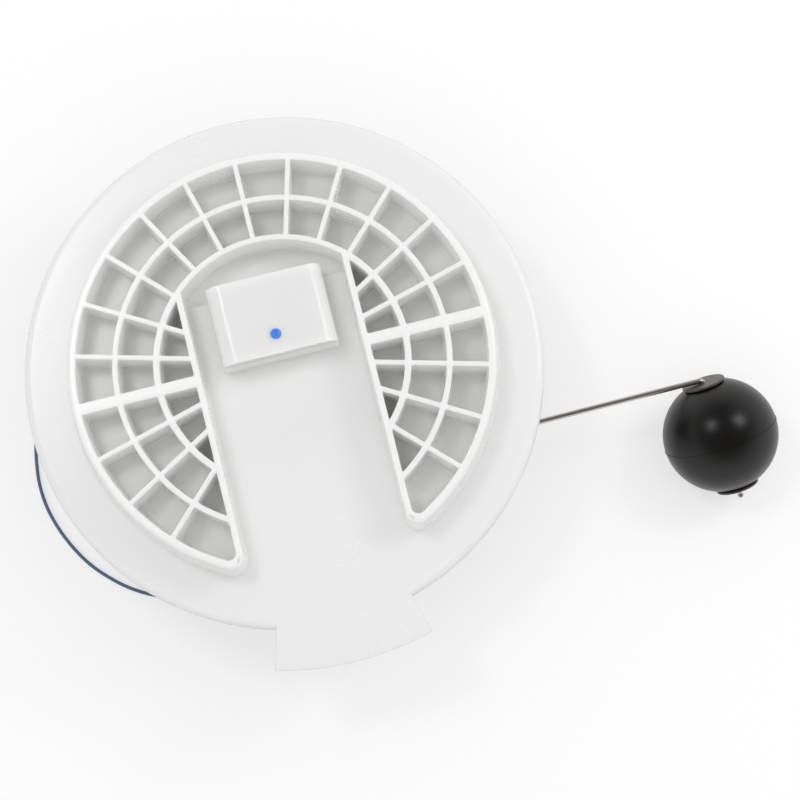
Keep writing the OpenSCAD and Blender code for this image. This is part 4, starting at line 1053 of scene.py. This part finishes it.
METAL = {"Metallic": 1.0}
FINISHES = {
    "natural_deck_plastic": finish(
        "milky_plastic", "moulded", (0.95, 0.955, 0.94), 0.26, 0.003,
        {"Subsurface Weight": 0.6, "Subsurface Radius": (1.0, 1.0, 0.97),
         "Subsurface Scale": 0.008, "IOR": 1.49}, variation=0.012, patch_scale=14.0),
    "black_rubber": finish(
        "black_rubber", "moulded", (0.05, 0.05, 0.05), 0.72, 0.04, variation=0.15),
    "stainless": finish(
        "stainless_steel", "brushed", (0.66, 0.66, 0.67), 0.27, 0.01, METAL,
        roughness_range=0.1, stretch=(1, 1, 0.1)),
    "circuit_board": finish(
        "board_lacquer", "moulded", (0.06, 0.28, 0.13), 0.35, 0.02, {"Coat Weight": 0.5},
        variation=0.2, patch_scale=400.0),
    "clear_led": finish(
        "clear_resin", "moulded", (0.45, 0.62, 0.95), 0.08, 0.002, {"Transmission Weight": 0.6}),
    # The blue lens carries a faint painted glow: a weak emission, not a lamp, that brightens its
    # blue.
    "blue_lens": finish(
        "blue_lens", "moulded", (0.05, 0.24, 0.85), 0.08, 0.004,
        {"Coat Weight": 0.8, "Emission Color": (0.02, 0.14, 0.75, 1), "Emission Strength": 0.05},
        variation=0.25, patch_scale=320.0),
    "black_plastic": finish(
        "black_plastic", "moulded", (0.055, 0.06, 0.07), 0.42, 0.035, variation=0.1,
        roughness_range=0.08),
    "cream_plastic": finish(
        "cream_plastic", "moulded", (0.80, 0.76, 0.66), 0.38, 0.02, variation=0.03),
    "rotor_steel": finish(
        "stacked_laminations", "brushed", (0.30, 0.31, 0.34), 0.4, 0.05, METAL, variation=0.15,
        stretch=(0.05, 0.05, 1), grain_scale=1500.0),
    "seal_carbon": finish(
        "seal_carbon", "moulded", (0.07, 0.07, 0.08), 0.3, 0.01, variation=0.1),
    "seal_ceramic": finish(
        "seal_ceramic", "moulded", (0.85, 0.84, 0.80), 0.18, 0.005, variation=0.02),
    "cast_aluminium": finish(
        "cast_aluminium", "cast", (0.60, 0.61, 0.63), 0.42, 0.08, METAL, variation=0.06,
        roughness_range=0.12),
    "bearing_steel": finish(
        "bearing_steel", "brushed", (0.62, 0.63, 0.65), 0.2, 0.005, METAL,
        stretch=(1, 1, 0.15)),
    "copper_winding": finish(
        "enamelled_wire", "wound", (0.62, 0.29, 0.12), 0.28, 0.25,
        {"Metallic": 0.85, "Coat Weight": 0.6}, variation=0.18, grain_scale=330.0),
    "housing_coat": finish(
        "housing_coat", "cast", (0.07, 0.08, 0.10), 0.46, 0.10, variation=0.12,
        roughness_range=0.1, grain_scale=700.0),
    "gland_plastic": finish(
        "gland_plastic", "moulded", (0.045, 0.045, 0.05), 0.5, 0.03, variation=0.08),
    "lead_jacket": finish(
        "lead_jacket", "moulded", (0.10, 0.15, 0.25), 0.42, 0.012, variation=0.06),
    "red_plunger": finish(
        "red_plunger", "moulded", (0.62, 0.08, 0.05), 0.35, 0.01, variation=0.05),
    "float_rod_steel": finish(
        "rod_steel", "brushed", (0.52, 0.50, 0.47), 0.26, 0.012, METAL, variation=0.06,
        roughness_range=0.1, stretch=(0.06, 1, 1), grain_scale=1400.0),
    "float_foam": finish(
        "float_skin", "moulded", (0.0045, 0.0035, 0.003), 0.32, 0.03,
        {"Specular IOR Level": 0.4}, variation=0.2, roughness_range=0.07, patch_scale=30.0,
        grain_scale=1100.0),
    "dark_washer": finish(
        "dark_washer", "brushed", (0.10, 0.085, 0.085), 0.4, 0.02, {"Metallic": 0.55},
        variation=0.12, stretch=(1, 0.2, 1)),
}


def coat(obj, slot):
    """Gives a piece the finish of one of the record's material slots."""
    if not obj.data.materials:
        obj.data.materials.append(FINISHES[slot])
    for material_slot in obj.material_slots:
        material_slot.material = FINISHES[slot]


# Roundings in mm of the carried-over solids whose sharp edges show.
SOFT_EDGES = {
    "switch_case": 0.8, "switch_cover": 0.6, "intake_strainer": 0.5, "volute_casing": 0.6,
    "seal_plate": 0.4, "motor_housing": 0.4, "power_gland": 0.4, "motor_lead_gland": 0.3,
    "switch_lead_gland": 0.3}


def soften(obj, width):
    """Rounds a carried-over solid's sharp edges with live modifiers, its own mesh untouched."""
    weld = obj.modifiers.new("weld", "WELD")
    weld.merge_threshold = 0.002 * MM
    flat = obj.modifiers.new("flat", "DECIMATE")
    flat.decimate_type = "DISSOLVE"
    flat.angle_limit = math.radians(0.5)
    bevel = obj.modifiers.new("round", "BEVEL")
    bevel.width = width * MM
    bevel.segments = 2
    bevel.limit_method = "ANGLE"
    bevel.angle_limit = math.radians(35)
    bevel.use_clamp_overlap = False
    bevel.harden_normals = True


for name, width in SOFT_EDGES.items():
    soften(NODES[name], width)
for part in frame["record"]["subparts"]:
    coat(NODES[part["node"]], part["material_slot"])
coat(deck, "natural_deck_plastic")
coat(lead, "lead_jacket")
coat(lens, "blue_lens")
for relief in reliefs:
    coat(relief, "gland_plastic")
for slot, pieces in float_pieces.items():
    for piece in pieces:
        coat(piece, slot)

# ---------------------------------------------------------------- light and floor

LAMP_AIM = Vector((0.05, 0, 0.08))
WORLD_LIGHT = 0.78
CEILING_GLOSS = 0.15
CEILING_FROM, CEILING_TO = 0.25, 0.7
FLOOR_COLOUR = 0.5
FLOOR_GLOW = 0.52
FLOOR_SIZE = 12
FLOOR_DROP = 0.3


def area_light(name, place, size, power):
    """A square lamp that faces the middle of the object."""
    data = bpy.data.lights.new(name, "AREA")
    data.shape = "SQUARE"
    data.size = size
    data.energy = power
    lamp = bpy.data.objects.new(name, data)
    lamp.location = place
    lamp.rotation_euler = (Vector(place) - LAMP_AIM).to_track_quat("Z", "Y").to_euler()
    bpy.context.collection.objects.link(lamp)


area_light("key", (-0.40, 0.42, 1.50), 0.3, 2.9)
area_light("fill", (0.785, 0.147, 0.845), 0.3, 1.6)


def seen_directly(tree):
    """1 for camera, glossy and transmission rays, 0 for the rest."""
    rays = tree.nodes.new("ShaderNodeLightPath").outputs
    either = math_node(tree, "MAXIMUM", rays["Is Camera Ray"], rays["Is Glossy Ray"])
    return math_node(tree, "MAXIMUM", either, rays["Is Transmission Ray"])


world = bpy.data.worlds.new("studio")
bpy.context.scene.world = world
world.use_nodes = True
sky = world.node_tree
sky.nodes["Background"].inputs["Color"].default_value = (1, 1, 1, 1)
brighter = math_node(sky, "MULTIPLY", seen_directly(sky), 1 - WORLD_LIGHT)
level = math_node(sky, "ADD", brighter, WORLD_LIGHT)
height = add(sky, "SeparateXYZ", Vector=add(sky, "TexCoord").outputs["Generated"]).outputs["Z"]
overhead = add(
    sky, "MapRange", Value=height, From_Min=CEILING_FROM, From_Max=CEILING_TO, To_Min=0.0,
    To_Max=1.0).outputs[0]
glossy = sky.nodes.new("ShaderNodeLightPath").outputs["Is Glossy Ray"]
dimmer = math_node(
    sky, "MULTIPLY", math_node(sky, "MULTIPLY", overhead, glossy), 1 - CEILING_GLOSS)
sky.links.new(
    math_node(sky, "SUBTRACT", level, dimmer), sky.nodes["Background"].inputs["Strength"])
bpy.context.scene.view_settings.view_transform = "Standard"

deselect()
bpy.ops.mesh.primitive_plane_add(size=FLOOR_SIZE, location=(0, 0, -FLOOR_DROP * MM))
floor = bpy.context.object
floor.name = "floor"
pale = bpy.data.materials.new("pale_floor")
pale.use_nodes = True
ground = pale.node_tree
shader = ground.nodes["Principled BSDF"]
shader.inputs["Base Color"].default_value = (FLOOR_COLOUR, FLOOR_COLOUR, FLOOR_COLOUR, 1)
shader.inputs["Roughness"].default_value = 1.0
shader.inputs["Specular IOR Level"].default_value = 0.0
shader.inputs["Emission Color"].default_value = (1, 1, 1, 1)
ground.links.new(
    math_node(ground, "MULTIPLY", seen_directly(ground), FLOOR_GLOW),
    shader.inputs["Emission Strength"])
floor.data.materials.append(pale)
